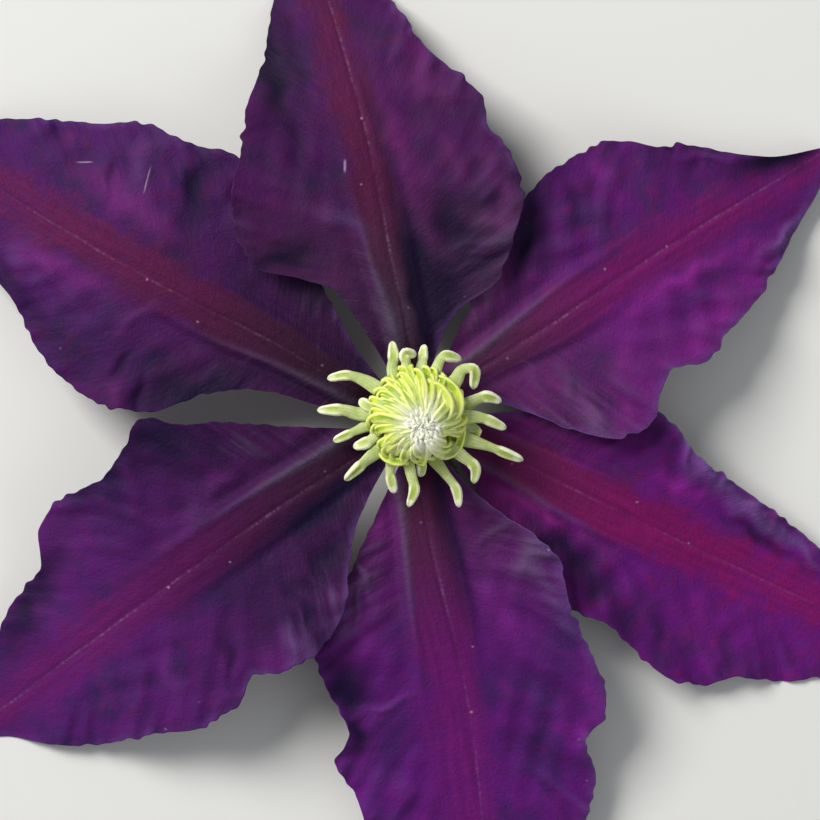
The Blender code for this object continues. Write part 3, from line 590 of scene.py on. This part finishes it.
def tepal_piece(number, plan):
    """One tepal: a grid along the midrib (rows) and across it (columns), face and back joined at the rim.

    Added to the height of its cover: the bar's ribs, the named folds, pleats and a frill along the veins,
    quilting between them, and a fine crinkle. For its material it keeps, point by point:
    blade - distance out, place across from the nerve, distance from the rim;
    vein - the phase, the place along a side vein, nearness to the claw;
    tones - strength of the bar, paler tone (painted highlight, on the ribs partly their own colour) and
    darker tone (painted shade);
    lit - painted glow of light, painted light and shade as brightness, and 1 on the back.
    """
    seed = 10 * number
    u = np.linspace(0, 1, TEPAL_ROWS)[:, None]
    w = np.linspace(-1, 1, TEPAL_COLUMNS)[None, :]
    reach = plan["reach"]
    first = CLAW_ROOT / reach
    share = CLAW_FOOT / reach + (1 - CLAW_FOOT / reach) * (1 - (1 - u) ** 1.2)
    run = np.clip((share - first) / (1 - first), 0, 1)
    side = np.where(w > 0, 1, -1)
    out = share * reach
    ragged = 0.6 + 0.6 * waves(out, (11, 7.3), seed)
    left = half_width(plan["left"], first, share, ragged, waves(out, (1.5, 2.3, 3.7), seed + 1))
    right = half_width(plan["right"], first, share, ragged, waves(out, (1.7, 2.6, 4.1), seed + 2))
    rounded = np.sqrt(np.clip(1 - (np.maximum(share - 0.982, 0) / 0.0182) ** 2, 0, 1))
    half = np.maximum(sided(side, left, right) * rounded, 0.06)
    edge = 0.72 * np.abs(w) + 0.28 * np.sin(0.5 * math.pi * np.abs(w))
    edge = np.broadcast_to(edge, half.shape)
    across = side * half * edge
    distance = np.abs(across)

    near, far, _ = plan["nerve"]
    nerve = near + (far - near) * ease(share, 0.2, 0.6)
    relief, rib, rib_tone = rib_relief(plan, share, side, across, nerve)
    fold_height, fold_highlight_and_shade, painted_glow = fold_field(plan, out, across, seed)
    fold_height = fold_height * (1 - ease(share, 0.84, 0.94))
    height = cover_height(plan, share, run, side, edge, out) + relief + fold_height
    phase, pleat, crimp, quilt, frill = vein_relief(share, out, side, across, half, edge, ragged, seed)
    smooth = 1 - 0.75 * np.clip(-fold_highlight_and_shade, 0, 1)
    pleat, crimp = pleat * smooth, crimp * smooth
    height = height + PLEAT * pleat + CRIMP * crimp + QUILT * quilt + FRILL * frill
    fine = CRINKLE * waves(out + 0.7 * across, (1.3, 2.2, 3.1), 3)
    height = height + fine * waves(across - 0.4 * out, (1.5, 2.4, 3.7), 4)

    let_down = TIP_STEP * (plan["tip"] == SOLID_BLADE) * ease(share, 0.5, 0.9)
    height = np.maximum(height - let_down, SOLID_BLADE)
    thick = LEAF + (MARGIN - LEAF) * edge**5 + CLAW_THICKER * (1 - ease(share, 0.05, 0.15)) * (1 - edge**3)
    face = height - ease(share, 0.5, 0.85) * (SOLID_BLADE - thick)
    middle_rib = MIDDLE_RIB * bell(across, 0.42) * (1 - ease(share, 0.66, 0.86))
    side_ribs = SIDE_RIB * bell(distance - 2.4, 0.42) * (1 - ease(share, 0.42, 0.72))
    back = np.maximum(face - thick - (middle_rib + side_ribs) * ease(share, 0.04, 0.1), 0)

    bend = plan["bow"] * np.sin(math.pi * np.clip((share - 0.1) / 0.8, 0, 1))
    angle = np.radians(plan["turn"] + plan["swing"] * (1 - ease(out, 2, 20)))
    aside = across + bend * (1 - edge)
    x = AXIS[0] + out * np.cos(angle) - aside * np.sin(angle)
    y = AXIS[1] + out * np.sin(angle) + aside * np.cos(angle)
    points = np.stack([np.stack([x, y, face], -1), np.stack([x, y, back], -1)])
    mesh = leaf_mesh(f"tepal_{number}_blade", points)

    bar_half = (rib + 0.3 * ease(share, 0.25, 0.5)) * (1 + 0.14 * waves(out, (9, 15), seed + 8))
    bar_half = np.minimum(bar_half, 0.55 * half + 0.4)
    sure = (0.8 - 0.6 * ease(share, 0.25, 0.6)) * bar_half
    bar = 1 - ease(distance, sure, (1.1 + 0.55 * ease(share, 0.3, 0.6)) * bar_half + 0.4)
    bar = bar * (1 - 0.25 * ease(share, 0.3, 1))
    # Tone: painted highlight on crests (on the ribs partly their own paler colour) and painted shade in
    # hollows, from the ribs, named folds and the relief along the veins.
    tone = rib_tone + fold_highlight_and_shade + 0.45 * crimp + 0.22 * pleat + 0.12 * quilt + 0.25 * frill
    # Painted light and shade: brightness near the claw, in the middle and far out.
    near, middle, far = plan["light"]
    light = near + (middle - near) * ease(share, 0.15, 0.4) + (far - middle) * ease(share, 0.4, 0.75)
    gap = half * (1 - edge) + 2 * (1 - sided(side, *plan["rims"]))
    fields = {
        "blade": (out, across - nerve, gap),
        "vein": (phase, across + 0.2 * out, 1 - ease(share, 0.16, 0.5)),
        "tones": (bar, np.clip(tone, 0, 1.3), np.clip(-tone, 0, 1.3)),
        "lit": (painted_glow, light, np.array([0, 1])[:, None, None]),
    }
    for name, parts in fields.items():
        store(mesh, name, points[..., 0], *parts)
    return placed(mesh.name, mesh)


def scratch(out, off_nerve, mark, nerve):
    """A short pale scratch: 1 within its half length and half width, seen along and across its slant."""
    near, aside, slant, long, wide = mark
    cosine, sine = math.cos(math.radians(slant)), math.sin(math.radians(slant))
    out, over = out - near, off_nerve - (aside - nerve)
    along, beside = abs(out * cosine + over * sine), abs(over * cosine - out * sine)
    return between(along, 1.2 * long, 0.4 * long) * between(beside, 1.3 * wide, 0.2 * wide)


def swing(noise, size):
    """Noise made to swing about 0."""
    return (noise - 0.5) * size


def tepal_velvet(number, plan):
    """Velvet face and duller, ribbed back.

    Violet, mottled towards blue and magenta, with soft streaks along the veins, and turned clearer violet in
    patches of painted glow of light. The bar lays crimson over it in long threads, and the claw a dusky
    brown, partly its own colour and partly painted shade. Crests and folds are paler lilac by a painted
    highlight, the ribs also a little paler of their own, the rim is paler lilac, and hollows are blue black
    by painted shade.
    Each tepal is made brighter or darker along its length by painted light and shade. The nerve carries a
    broken pale line, and single pale grains of pollen lie scattered.
    """
    material, shader = new_material(
        f"tepal_velvet_{number}", 0.62, Specular_IOR_Level=0.1, Sheen_Weight=0.24, Sheen_Roughness=0.35,
        Sheen_Tint=(0.6, 0.44, 0.95, 1),
    )
    bar, violet, dusk, claw = (np.array(plan[part]) / 1000 for part in ("bar", "violet", "dusk", "claw"))
    here, place, vein = place_on(shader), stored(shader, "blade"), stored(shader, "vein")
    deep = split(vein)[2]
    out, off_nerve, gap = split(place)
    in_bar, pale, painted_shade = split(stored(shader, "tones"))
    painted_glow, light, under = split(stored(shader, "lit"))
    shifted = node("Mapping", {"Vector": here, "Location": (0.013 * number, 0, 0)})[0]
    cloud, patch = grain(shifted, 480, 4, 0.6), grain(shifted, 150, 4, 0.6)
    broad = grain(shifted, 60)
    threads = grain(stretched(place, 0.09, 1.25, 0), 1, 3, 0.6)
    feather = grain(stretched(vein, 0.7, 0.16, 0), 1, 3, 0.55)
    fine = grain(stretched(vein, 2.6, 0.5, 0), 1, 2, 0.6)
    hairs = grain(stretched(vein, 1.5, 0.1, 0), 1, 3, 0.6)

    # The mottled ground, and over it the bar in threads
    ground = mixed(between(patch, 0.42, 0.66), violet, dusk)
    ground = mixed(between(cloud, 0.48, 0.74, 0, 0.45), ground, bar)
    # Clearer violet in patches of painted glow of light, and in random broad patches.
    ground = mixed((painted_glow + between(broad, 0.52, 0.72, 0, 0.35)) * 0.75, ground, 1.1 * (violet + bar))
    # Dusky brown near the claw, partly its own colour and partly painted shade; the bar turns to it there
    # too.
    ground = mixed(deep * 0.55, ground, claw)
    ragged = swing(threads, 0.5) + swing(cloud, 0.9) + swing(patch, 0.7)
    barred = between(in_bar + ragged, 0.1, 1.05)
    colour = mixed(barred, ground, mixed(deep * 0.95, bar, 0.85 * claw))
    streak = mixed(between(feather, 0.3, 0.7), (0.84, 0.85, 0.86), (1.15, 1.13, 1.12))
    near_claw = between(deep, 0, 0.8, 0.4, 1)
    colour = mixed(near_claw * between(in_bar, 0.2, 0.9, 0.9, 0.15), colour, streak, "MULTIPLY")
    thread = mixed(between(threads, 0.32, 0.68), (0.85, 0.82, 0.86), (1.14, 1.14, 1.12))
    colour = mixed(barred * 0.85, colour, thread, "MULTIPLY")
    # Painted light and shade: each tepal made brighter or darker near the claw, in the middle and far out.
    colour = mixed(1, colour, node("CombineColor", dict.fromkeys(range(3), light))[0], "MULTIPLY")

    # Combed hairs, painted highlight on crests, painted shade in hollows, and the rim
    combed = between(hairs, 0.5, 0.74, 0, 0.3) * between(in_bar, 0, 0.6, 1, 0.1)
    combed = combed * between(deep, 0.1, 0.75) * between(patch, 0.4, 0.55, 0.3, 1)
    colour = mixed(combed, colour, (0.105, 0.078, 0.15))
    # Painted highlight in lilac on the crests of ribs, folds and veins; the rib tops are also a little paler
    # of their own.
    lilac = mixed(deep, (0.15, 0.075, 0.25), (0.12, 0.095, 0.15))
    colour = mixed(pale * (swing(fine, 1.3) + 0.82) * 0.62, colour, lilac)
    # Painted shade in blue black in creases, hollows and the troughs of the veins, and painted shadow where
    # named folds say.
    colour = mixed(painted_shade * 0.82, colour, (0.2 * dusk[0] + 0.003, 0.004, 0.32 * dusk[2] + 0.003))
    rim = between(gap + swing(feather, 1.6), 1.7, 0.1, 0, 0.42) * between(patch, 0.4, 0.62, 1, 0.25)
    colour = mixed(rim, colour, (0.12, 0.055, 0.22))
    colour = mixed(between(gap, 0.26, 0.06, 0, 0.5), colour, (0.15, 0.09, 0.24))

    # The nerve's broken line, pollen and scratches
    off_line = abs(off_nerve + swing(grain(here, 330), 0.3))
    dashes = between(grain(stretched(place, 0.9, 0, 0), 1, 4, 0.85), 0.4, 0.68)
    stretches = between(grain(stretched(place, 0.085, 0, 0), 1, 1), 0.42, 0.58, 0.2, 1)
    clear = plan["nerve"][2]
    line = between(off_line, 0.24, 0.03) * calc("MAXIMUM", dashes, 0.1) * stretches
    line = line * between(deep, 1, 0.3, 0.15 * clear, 0.6 * clear)
    colour = mixed(line, colour, (0.42, 0.24, 0.4))
    distance, chance, *_ = node("TexVoronoi", {"Vector": place, "Scale": 0.4}, voronoi_dimensions="2D")
    rare = between(node("SeparateColor", {"Color": chance})[0], 0.93, 1, 0, 0.6)
    pollen = between(distance + swing(grain(here, 2500), 0.12), 0.085, 0.015) * rare
    face = mixed(pollen, colour, (0.46, 0.3, 0.42))
    for mark in plan.get("marks", ()):
        face = mixed(scratch(out, off_nerve, mark, plan["nerve"][1]) * 0.5, face, (0.5, 0.36, 0.52))

    back = mixed(between(fine, 0.34, 0.66), (0.052, 0.014, 0.072), (0.105, 0.036, 0.125))
    back = mixed(between(abs(abs(off_nerve) - 1.2), 2.4, 0.9) * 0.55, back, (0.15, 0.12, 0.105))
    feed(shader, "Base Color", mixed(under, face, back))
    feed(shader, "Roughness", between(fine, 0.3, 0.7, 0.56, 0.74))
    ridges = fine * near_claw * between(in_bar, 0, 0.7, 0.5, 0)
    bumped(shader, grain(here, 3000, 3, 0.65) * 0.5 + ridges + cloud, 0.00022)
    return material


for number, plan in enumerate(TEPALS, start=1):
    tepal = tepal_piece(number, plan)
    tepal.data.materials.append(tepal_velvet(number, plan))
    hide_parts(f"tepal_{number}")
    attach(tepal, "root")


# ---- Stamens ----
# Flat pale green filaments grow in a ring on the receptacle. Each ends in a long anther: a green band between
# two cream pollen sacs. The outer ones spread over the claws, and the inner ones bend in to close a ball.

STAMEN_ROWS = 44
STAMEN_SIDES = 16
STAMEN_FOOT = 9.3  # height at which they leave the receptacle
FILAMENT_WIDE, FILAMENT_DEEP = 0.73, 0.24  # half width and half depth of a filament at its foot
NARROWER = 0.24  # how much of that half width it has lost at the anther
SAC_WIDER, SAC_DEEPER = 0.08, 0.1  # what the pollen sacs add
OUTER_ANTHER, INNER_ANTHER = 0.75, 0.4  # share of the length at which the anther begins
TUFT = np.array([0.65, -1.25, 0])  # the place, seen from the axis, that the inner stamens' tips bend in to
# Outer stamens, anticlockwise: direction and distance of points along each, seen from above
OUTER_STAMENS = (
    ((10, 4.9), (15, 8.3), (10, 9.6)),
    ((40, 4.6), (45, 7.4), (38, 8.4), (27, 7.3)),
    ((66, 4.9), (65, 7.5), (53, 8.1)),
    ((85, 5), (84, 7.9)),
    ((105, 4.9), (101, 7.2), (93, 7)),
    ((122, 4.9), (112, 7.2), (109, 8.7)),
    ((146, 5), (150, 9.2), (157, 10.9)),
    ((168, 4.6), (166, 6.6)),
    ((178, 5), (176, 8.6), (177, 11.2)),
    ((190, 5), (197, 9.8)),
    ((206, 5), (207, 7.9)),
    ((223, 5), (222, 10.9)),
    ((240, 5.2), (253, 9.1)),
    ((258, 5), (268, 8.6), (265, 10.3)),
    ((274, 4.6), (274, 6.8)),
    ((290, 5), (298, 9.6), (295, 11.4)),
    ((316, 5), (318, 9), (311, 10)),
    ((331, 5), (337, 13)),
    ((349, 5), (344, 7.1), (337, 5.9)),
    ((358, 5), (352, 10.1)),
)
# Inner stamens that stray from the ball's even rings: direction, distance and height of points along each
STRAY_STAMENS = (
    ((72, 4.3, 13.4), (52, 5, 14.4), (26, 5.2, 14.9), (4, 4.7, 15.2), (-18, 3.4, 15.4)),
    ((78, 3.6, 14.8), (50, 4, 15.6), (22, 4, 15.9), (-2, 3.4, 16), (-20, 2.4, 16)),
    ((-8, 4.9, 13.2), (-20, 5.5, 13.7), (-41, 6, 13.5), (-58, 5.4, 13.9), (-51, 4.1, 14.5)),
    ((-148, 5.3, 12.6), (-128, 6, 13.2), (-109, 5.6, 14), (-106, 4, 15.4), (-100, 2.3, 16.2)),
    ((92, 4.9, 13.8), (86, 4.5, 15.2), (76, 3, 16.3), (60, 1.4, 16.7)),
    ((112, 4.9, 13.9), (106, 4.3, 15.4), (98, 2.8, 16.3), (80, 1.2, 16.6)),
    ((-84, 5.2, 13), (-84, 5.5, 14), (-78, 4.3, 15.3), (-70, 2.6, 16.2)),
    ((-35, 4, 12.4), (-40, 4.6, 13.2), (-46, 4.2, 14.2), (-54, 3.2, 15), (-60, 2.2, 15.5)),
    ((-52, 4, 12.4), (-56, 4.4, 13.2), (-60, 3.9, 14.3), (-66, 2.9, 15.2), (-70, 2, 15.8)),
)


def stamen_section(anther):
    """Half width and half depth of stamens, by place along them and angle round the section.

    The filament is a flat oval that narrows upwards. From the share `anther` on, two sacs swell along its
    sides: the depth grows with |cos a|, a groove stays at the middle, and a long taper ends in a round tip.
    """
    share = np.linspace(0, 1, STAMEN_ROWS)[None, :, None]
    a = angles(STAMEN_SIDES)
    sac = ease(share, anther - 0.03, anther + 0.03)
    tip = np.sqrt(np.clip(1 - (np.maximum(share - 0.93, 0) / 0.072) ** 2, 0, 1))
    tip = np.maximum(tip * (1 - 0.3 * ease(share, 0.8, 1)), 0.12)
    wide = (FILAMENT_WIDE - NARROWER * ease(share, 0.5 * anther, anther) + SAC_WIDER * sac) * tip + 0 * a
    groove = 1 - 0.5 * bell(np.cos(a), 0.32)
    swell = 1 + sac * (groove * (1 + 0.4 * np.abs(np.cos(a))) - 1)
    return wide, (FILAMENT_DEEP + sac * SAC_DEEPER) * tip * swell


def level_sides(path, turn, twist):
    """Side vectors that lie level, square to each path; twist turns them over along its length."""
    ahead = np.gradient(path, axis=1)
    flat = ahead[..., :2]
    length = np.linalg.norm(flat, axis=2, keepdims=True)
    level = length / np.linalg.norm(ahead, axis=2, keepdims=True)
    spin = np.radians(turn)[:, None]
    outward = np.stack([np.cos(spin), np.sin(spin)], -1)
    flat = flat / (length + 1e-6) * level + 0.5 * outward * (1 - level)
    flat /= np.linalg.norm(flat, axis=2, keepdims=True)
    lean = np.radians(twist)[:, None] * ease(np.linspace(0, 1, path.shape[1]), 0.3, 1)[None]
    return np.stack([-flat[..., 1], flat[..., 0], np.tan(np.clip(lean, -1.2, 1.2))], -1)


def stamen_group(name, anther, lines, turns, twist, scale):
    """Stamens along their lines, made one mesh, each turned by its twist and widened by its scale.

    The width also swells and shrinks by 7 % in slow waves along each.
    """
    path = np.stack([curve_through(line, STAMEN_ROWS) for line in lines])
    wide, deep = stamen_section(anther)
    start = 2.4 * np.arange(len(lines))[:, None, None]
    scale = scale[:, None, None]
    uneven = scale * (1 + 0.07 * np.sin(start + np.linspace(0, 11, STAMEN_ROWS)[None, :, None]))
    sides = level_sides(path, np.array(turns, float), twist)
    return tubes(name, path, sides, wide * uneven, deep * scale, STAMEN_SIDES)


def spreading_stamens():
    """Each leaves the ring steeply, levels out over the claws, wavers a little and dips at its tip."""
    draw = np.random.default_rng(21)
    lines = []
    for number, plan in enumerate(OUTER_STAMENS):
        (turn, away), (next_turn, next_away) = plan[:2]
        tall = number * 5 % 3 * 0.5
        line = [spot(turn, 2.7, STAMEN_FOOT), spot(turn, 3.9, 11 + tall / 2)]
        waver = draw.uniform(-2.5, 2.5, len(plan) - 1)[0]
        halfway = (0.5 * (turn + next_turn) + waver, 0.5 * (away + next_away))
        for turn, away in (*sorted((*plan[:2], halfway), key=lambda point: point[1]), *plan[2:]):
            line.append(spot(turn, away, 12.4 + tall - 0.05 * (away - 5) + draw.uniform(-0.12, 0.12)))
        last = line[-1] - line[-2]
        line[-1] = line[-1] + 0.3 * last / np.linalg.norm(last) - np.array([0, 0, 0.5])
        lines.append(line)
    turns = [plan[0][0] for plan in OUTER_STAMENS]
    twist = draw.uniform(-35, 35, len(lines))
    scale = draw.uniform(1.04, 1.26, len(lines))
    return stamen_group("stamens_outer", OUTER_ANTHER, lines, turns, twist, scale)


def closing_stamens():
    """Rings of stamens bent in over the carpels: out to the widest place, then up, over and in to the tuft.

    From the widest place to the tip the middle of the ring moves from the axis to the tuft. The stray ones
    start in the outermost ring and then follow their own points.
    """
    draw = np.random.default_rng(22)
    lines, turns = [], []
    for count, widest, middle, top, tip, start in (
        (26, 5.45, 12.4, 15.8, 1.9, 0), (22, 4.7, 13.8, 16.3, 1.4, 9), (15, 3.6, 14.7, 16.6, 1, 20),
    ):
        for number in range(count):
            angle = start + 360 * (number + draw.uniform(-0.25, 0.25)) / count
            lean = draw.uniform(-14, 14) - 16 * math.exp(-(((angle - 40) % 360 - 180) / 120) ** 8)
            high = top + draw.uniform(-0.3, 0.3)
            grown = widest + draw.uniform(-0.35, 0.35)
            end, low = tip + draw.uniform(-0.5, 0.6), high - draw.uniform(-0.1, 0.5)
            lines.append([
                spot(angle, 2.6, STAMEN_FOOT),
                spot(angle, 0.88 * grown, (middle + 9.6) / 2),
                spot(angle + 0.2 * lean, grown, middle),
                spot(angle + 0.5 * lean, 0.88 * grown, middle + 0.66 * (high - middle)) + 0.15 * TUFT,
                spot(angle + 0.8 * lean, 0.5 * (0.86 * grown + tip), high) + 0.55 * TUFT,
                spot(angle + 1.2 * lean, end, low) + TUFT,
            ])
            turns.append(angle)
    for plan in STRAY_STAMENS:
        turn = plan[0][0]
        lines.append([spot(turn, 2.6, STAMEN_FOOT), spot(turn, 4.2, 11.2), *(spot(*point) for point in plan)])
        turns.append(turn)
    twist = draw.uniform(-25, 25, len(lines))
    scale = draw.uniform(0.88, 1.14, len(lines))
    return stamen_group("stamens_inner", INNER_ANTHER, lines, turns, twist, scale)


def stamen_cream(name, anther, pale, bands, cream):
    """Pale green filament with fine lengthwise lines; on the anther a lime band between cream sacs.

    pale says where along the stamen white rays begin, how strong the weakest and the strongest are, and what
    is left of them on the flower's right side, away from the light; where less is left, the rays are partly
    the anthers' pale colour and partly a painted highlight on the lit left side. bands are the two greens of
    the lime band.
    """
    material, shader = new_material(
        name, 0.5, Subsurface_Weight=0.12, Subsurface_Scale=0.0004, Subsurface_Radius=(0.9, 1, 0.4),
        Sheen_Weight=0.1, Specular_IOR_Level=0.35,
    )
    here = place_on(shader)
    along, over, _ = split(stored(shader, "tube"))
    mottle, patchy = grain(here, 800, 3), grain(here, 380)
    filament = mixed(between(mottle, 0.35, 0.65), (0.46, 0.55, 0.18), (0.6, 0.68, 0.32))
    filament = mixed(between(along, 0.2, 0.55, 0.6, 0), filament, (0.34, 0.46, 0.1))
    lines = calc("SINE", over * 13 + patchy * 9)
    filament = mixed(between(lines, -0.2, 1, 0, 0.45), filament, (0.36, 0.48, 0.12))
    lime = mixed(between(patchy, 0.38, 0.62), *bands)
    sacs = mixed(between(abs(over) + swing(mottle, 0.4), 0.34, 0.7), lime, cream)
    colour = mixed(between(along, anther - 0.04, anther + 0.04), filament, sacs)
    start, weakest, strongest, left_over = pale
    # White rays towards the tips, partly the anthers' own pale colour; on the inner stamens also painted
    # highlight, fading towards the flower's right side, away from the light.
    rays = between(grain(here, 170), 0.4, 0.6, weakest, strongest) * between(along, start, 0.94)
    rays = rays * between(split(here)[0], 0.0028, 0.0055, 1, left_over)
    feed(shader, "Base Color", mixed(rays, colour, (0.98, 0.98, 0.78)))
    feed(shader, "Roughness", between(mottle, 0.3, 0.7, 0.44, 0.6))
    bumped(shader, grain(here, 3800, 3), 0.00007)
    return material


outer = spreading_stamens()
bands = ((0.42, 0.53, 0.09), (0.56, 0.65, 0.2))
pale = (0.88, 0.3, 0.8, 1)
outer.data.materials.append(stamen_cream("stamen_cream_outer", OUTER_ANTHER, pale, bands, (0.86, 0.89, 0.6)))
inner = closing_stamens()
bands = ((0.3, 0.46, 0.01), (0.6, 0.73, 0.06))
# Inner rays are partly painted highlight: only a quarter of them is left on the flower's right side, away
# from the light.
pale = (0.6, 0.12, 1, 0.25)
inner.data.materials.append(stamen_cream("stamen_cream_inner", INNER_ANTHER, pale, bands, (0.84, 0.91, 0.24)))
for piece in (outer, inner):
    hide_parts("stamens")
    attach(piece, "root")


# ---- Carpels and styles ----
# A bunch of small downy carpels stands inside the ring of stamens. Each carries a thin silky white style,
# and the styles push out between the stamens' tips as a white tuft.

CARPELS = 26
BUNCH = 1.75  # radius of their bunch
STYLES = 120
STYLE_ROWS = 18
STYLE_TOP = 17  # height of the tuft at its middle
STYLE_THICK, STYLE_THINNER = 0.27, 0.12  # radius at the foot, and what it has lost at the end
SILK_PER_STYLE = 6
GOLDEN_TURN = 137.5  # degrees from each one to the next, which fills a disc evenly


def carpel_bunch():
    """Small upright bodies, pointed at both ends (radius by sin^0.7 of the length), set in a spiral."""
    number = np.arange(CARPELS)
    turn = GOLDEN_TURN * number
    away = BUNCH * np.sqrt((number + 0.5) / CARPELS)
    share = np.linspace(0, 1, 9)[None, :, None]
    foot = spot(turn, 0.8 * away, 10.2 - 0.1 * away)[:, None]
    head = spot(turn, away, 13.4 - 0.45 * away**2)[:, None]
    radius = np.maximum(0.52 * np.sin(math.pi * np.clip(share, 0.02, 0.98)) ** 0.7, 0.05)
    side = np.stack([-np.sin(np.radians(turn)), np.cos(np.radians(turn)), 0 * turn], -1)[:, None]
    return tubes("carpels", foot + (head - foot) * share, side, radius, radius, 8)


def style_paths():
    """Styles that rise out of the bunch, lean to the tuft's place, splay over the tips and curl at random."""
    draw = np.random.default_rng(31)
    lines = []
    for number in range(STYLES):
        turn = GOLDEN_TURN * number + draw.uniform(-15, 15)
        away = (2.3 + draw.uniform(0, 0.8)) * ((number + 0.5) / STYLES) ** 0.62
        lean = turn + draw.uniform(-22, 22)
        top = STYLE_TOP + draw.uniform(-0.4, 0.3) - 0.18 * away
        lines.append([
            spot(turn, 0.3 * away, 12.8),
            spot(turn, 0.36 * away, 14.6) + 0.4 * TUFT,
            spot(turn, 0.48 * away, 16.2) + 0.9 * TUFT,
            spot(turn, 0.7 * away, top + 0.15) + TUFT,
            spot(lean, away, top - draw.uniform(0.1, 0.4) - 0.16 * away) + TUFT,
        ])
    return np.stack([curve_through(line, STYLE_ROWS) for line in lines])


def silk(path):
    """Silky hairs along the styles, 0.4 to 0.8 mm long, lying forward at a slant."""
    draw = np.random.default_rng(32)
    row = draw.integers(6, STYLE_ROWS - 1, (len(path), SILK_PER_STYLE))
    root, ahead = (
        np.take_along_axis(values, row[..., None], axis=1).reshape(-1, 3)
        for values in (path, np.gradient(path, axis=1))
    )
    ahead /= np.linalg.norm(ahead, axis=1, keepdims=True)
    off = draw.normal(size=root.shape)
    off -= ahead * np.sum(off * ahead, axis=1, keepdims=True)
    off /= np.linalg.norm(off, axis=1, keepdims=True)
    long = draw.uniform(0.4, 0.8, len(root))[:, None]
    line = [root, root + long * (0.5 * ahead + 0.25 * off), root + long * (0.9 * ahead + 0.65 * off)]
    taper = np.array([0.03, 0.024, 0.008])[None, :, None]
    return tubes("style_hairs", np.stack(line, 1), np.cross(ahead, off)[:, None], taper, taper, 3)


carpel_green, shader = new_material("carpel_green", 0.55, Subsurface_Weight=0.15, Subsurface_Scale=0.0005)
here = place_on(shader)
tone = between(grain(here, 900, 3), 0.35, 0.65)
feed(shader, "Base Color", mixed(tone, (0.45, 0.58, 0.12), (0.72, 0.8, 0.4)))
bumped(shader, grain(here, 3000), 0.00006)

style_white, shader = new_material("style_white", 0.5, Specular_IOR_Level=0.2, Sheen_Weight=0.6)
along = split(stored(shader, "tube"))[0]
ivory = mixed(between(along, 0.15, 0.55), (0.86, 0.9, 0.5), (1, 1, 0.86))
tone = between(grain(place_on(shader), 1200), 0.4, 0.7, 0, 0.25)
feed(shader, "Base Color", mixed(tone, ivory, (0.9, 0.95, 0.66)))

carpels = carpel_bunch()
carpels.data.materials.append(carpel_green)
paths = style_paths()
radius = STYLE_THICK - STYLE_THINNER * np.linspace(0, 1, STYLE_ROWS)[None, :, None]
styles = tubes("styles", paths, np.array([1, 0.3, 0.1]), radius, radius, 8)
styles.data.materials.append(style_white)
hairs = silk(paths)
hairs.data.materials.append(style_white)
for piece in (carpels, styles, hairs):
    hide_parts("pistil")
    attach(piece, "root")


# ---- Table, light and camera ----
# The flower lies on a plain pale table under soft light from the upper left. The camera looks straight down.

FLOOR = 3  # metres
VIEW = 95.1  # width of the view at the height of the tepals
VIEW_HEIGHT = 8  # that height
CAMERA_HEIGHT = 650
AIM = (0.9, 2.6)

corners = [(x * FLOOR / 2, y * FLOOR / 2, 0) for x, y in ((-1, -1), (1, -1), (1, 1), (-1, 1))]
floor_mesh = bpy.data.meshes.new("table")
floor_mesh.from_pydata(corners, [], [(0, 1, 2, 3)])
floor = placed("table", floor_mesh)
table_white, _ = new_material("table_white", 0.85, Base_Color=(0.8, 0.8, 0.78, 1))
floor.data.materials.append(table_white)


def soft_light(name, place, size, power, colour):
    """A square light that faces the flower from a place given in metres."""
    light = bpy.data.lights.new(name, "AREA")
    light.size, light.energy, light.color = size, power, colour
    item = placed(name, light)
    item.location = place
    aim = -np.array(place) / np.linalg.norm(place)
    item.rotation_euler = (math.acos(-aim[2]), 0, math.atan2(aim[1], aim[0]) - math.pi / 2)


soft_light("window", (-0.6, 0.52, 0.66), 0.5, 11.5, (1, 0.985, 0.96))
soft_light("fill", (0.6, -0.45, 0.6), 0.7, 1.2, (0.93, 0.96, 1))
world = bpy.data.worlds.new("room")
world.use_nodes = True
world.node_tree.nodes["Background"].inputs["Color"].default_value = (0.95, 0.97, 1, 1)
world.node_tree.nodes["Background"].inputs["Strength"].default_value = 0.27
bpy.context.scene.world = world
bpy.context.scene.view_settings.view_transform = "Standard"

camera = bpy.data.cameras.new("camera")
camera.lens = camera.sensor_width * (CAMERA_HEIGHT - VIEW_HEIGHT) / VIEW
camera.clip_start = 0.01
camera.clip_end = 20
viewer = placed("camera", camera)
viewer.location = (AIM[0] * MM, AIM[1] * MM, CAMERA_HEIGHT * MM)
bpy.context.scene.camera = viewer
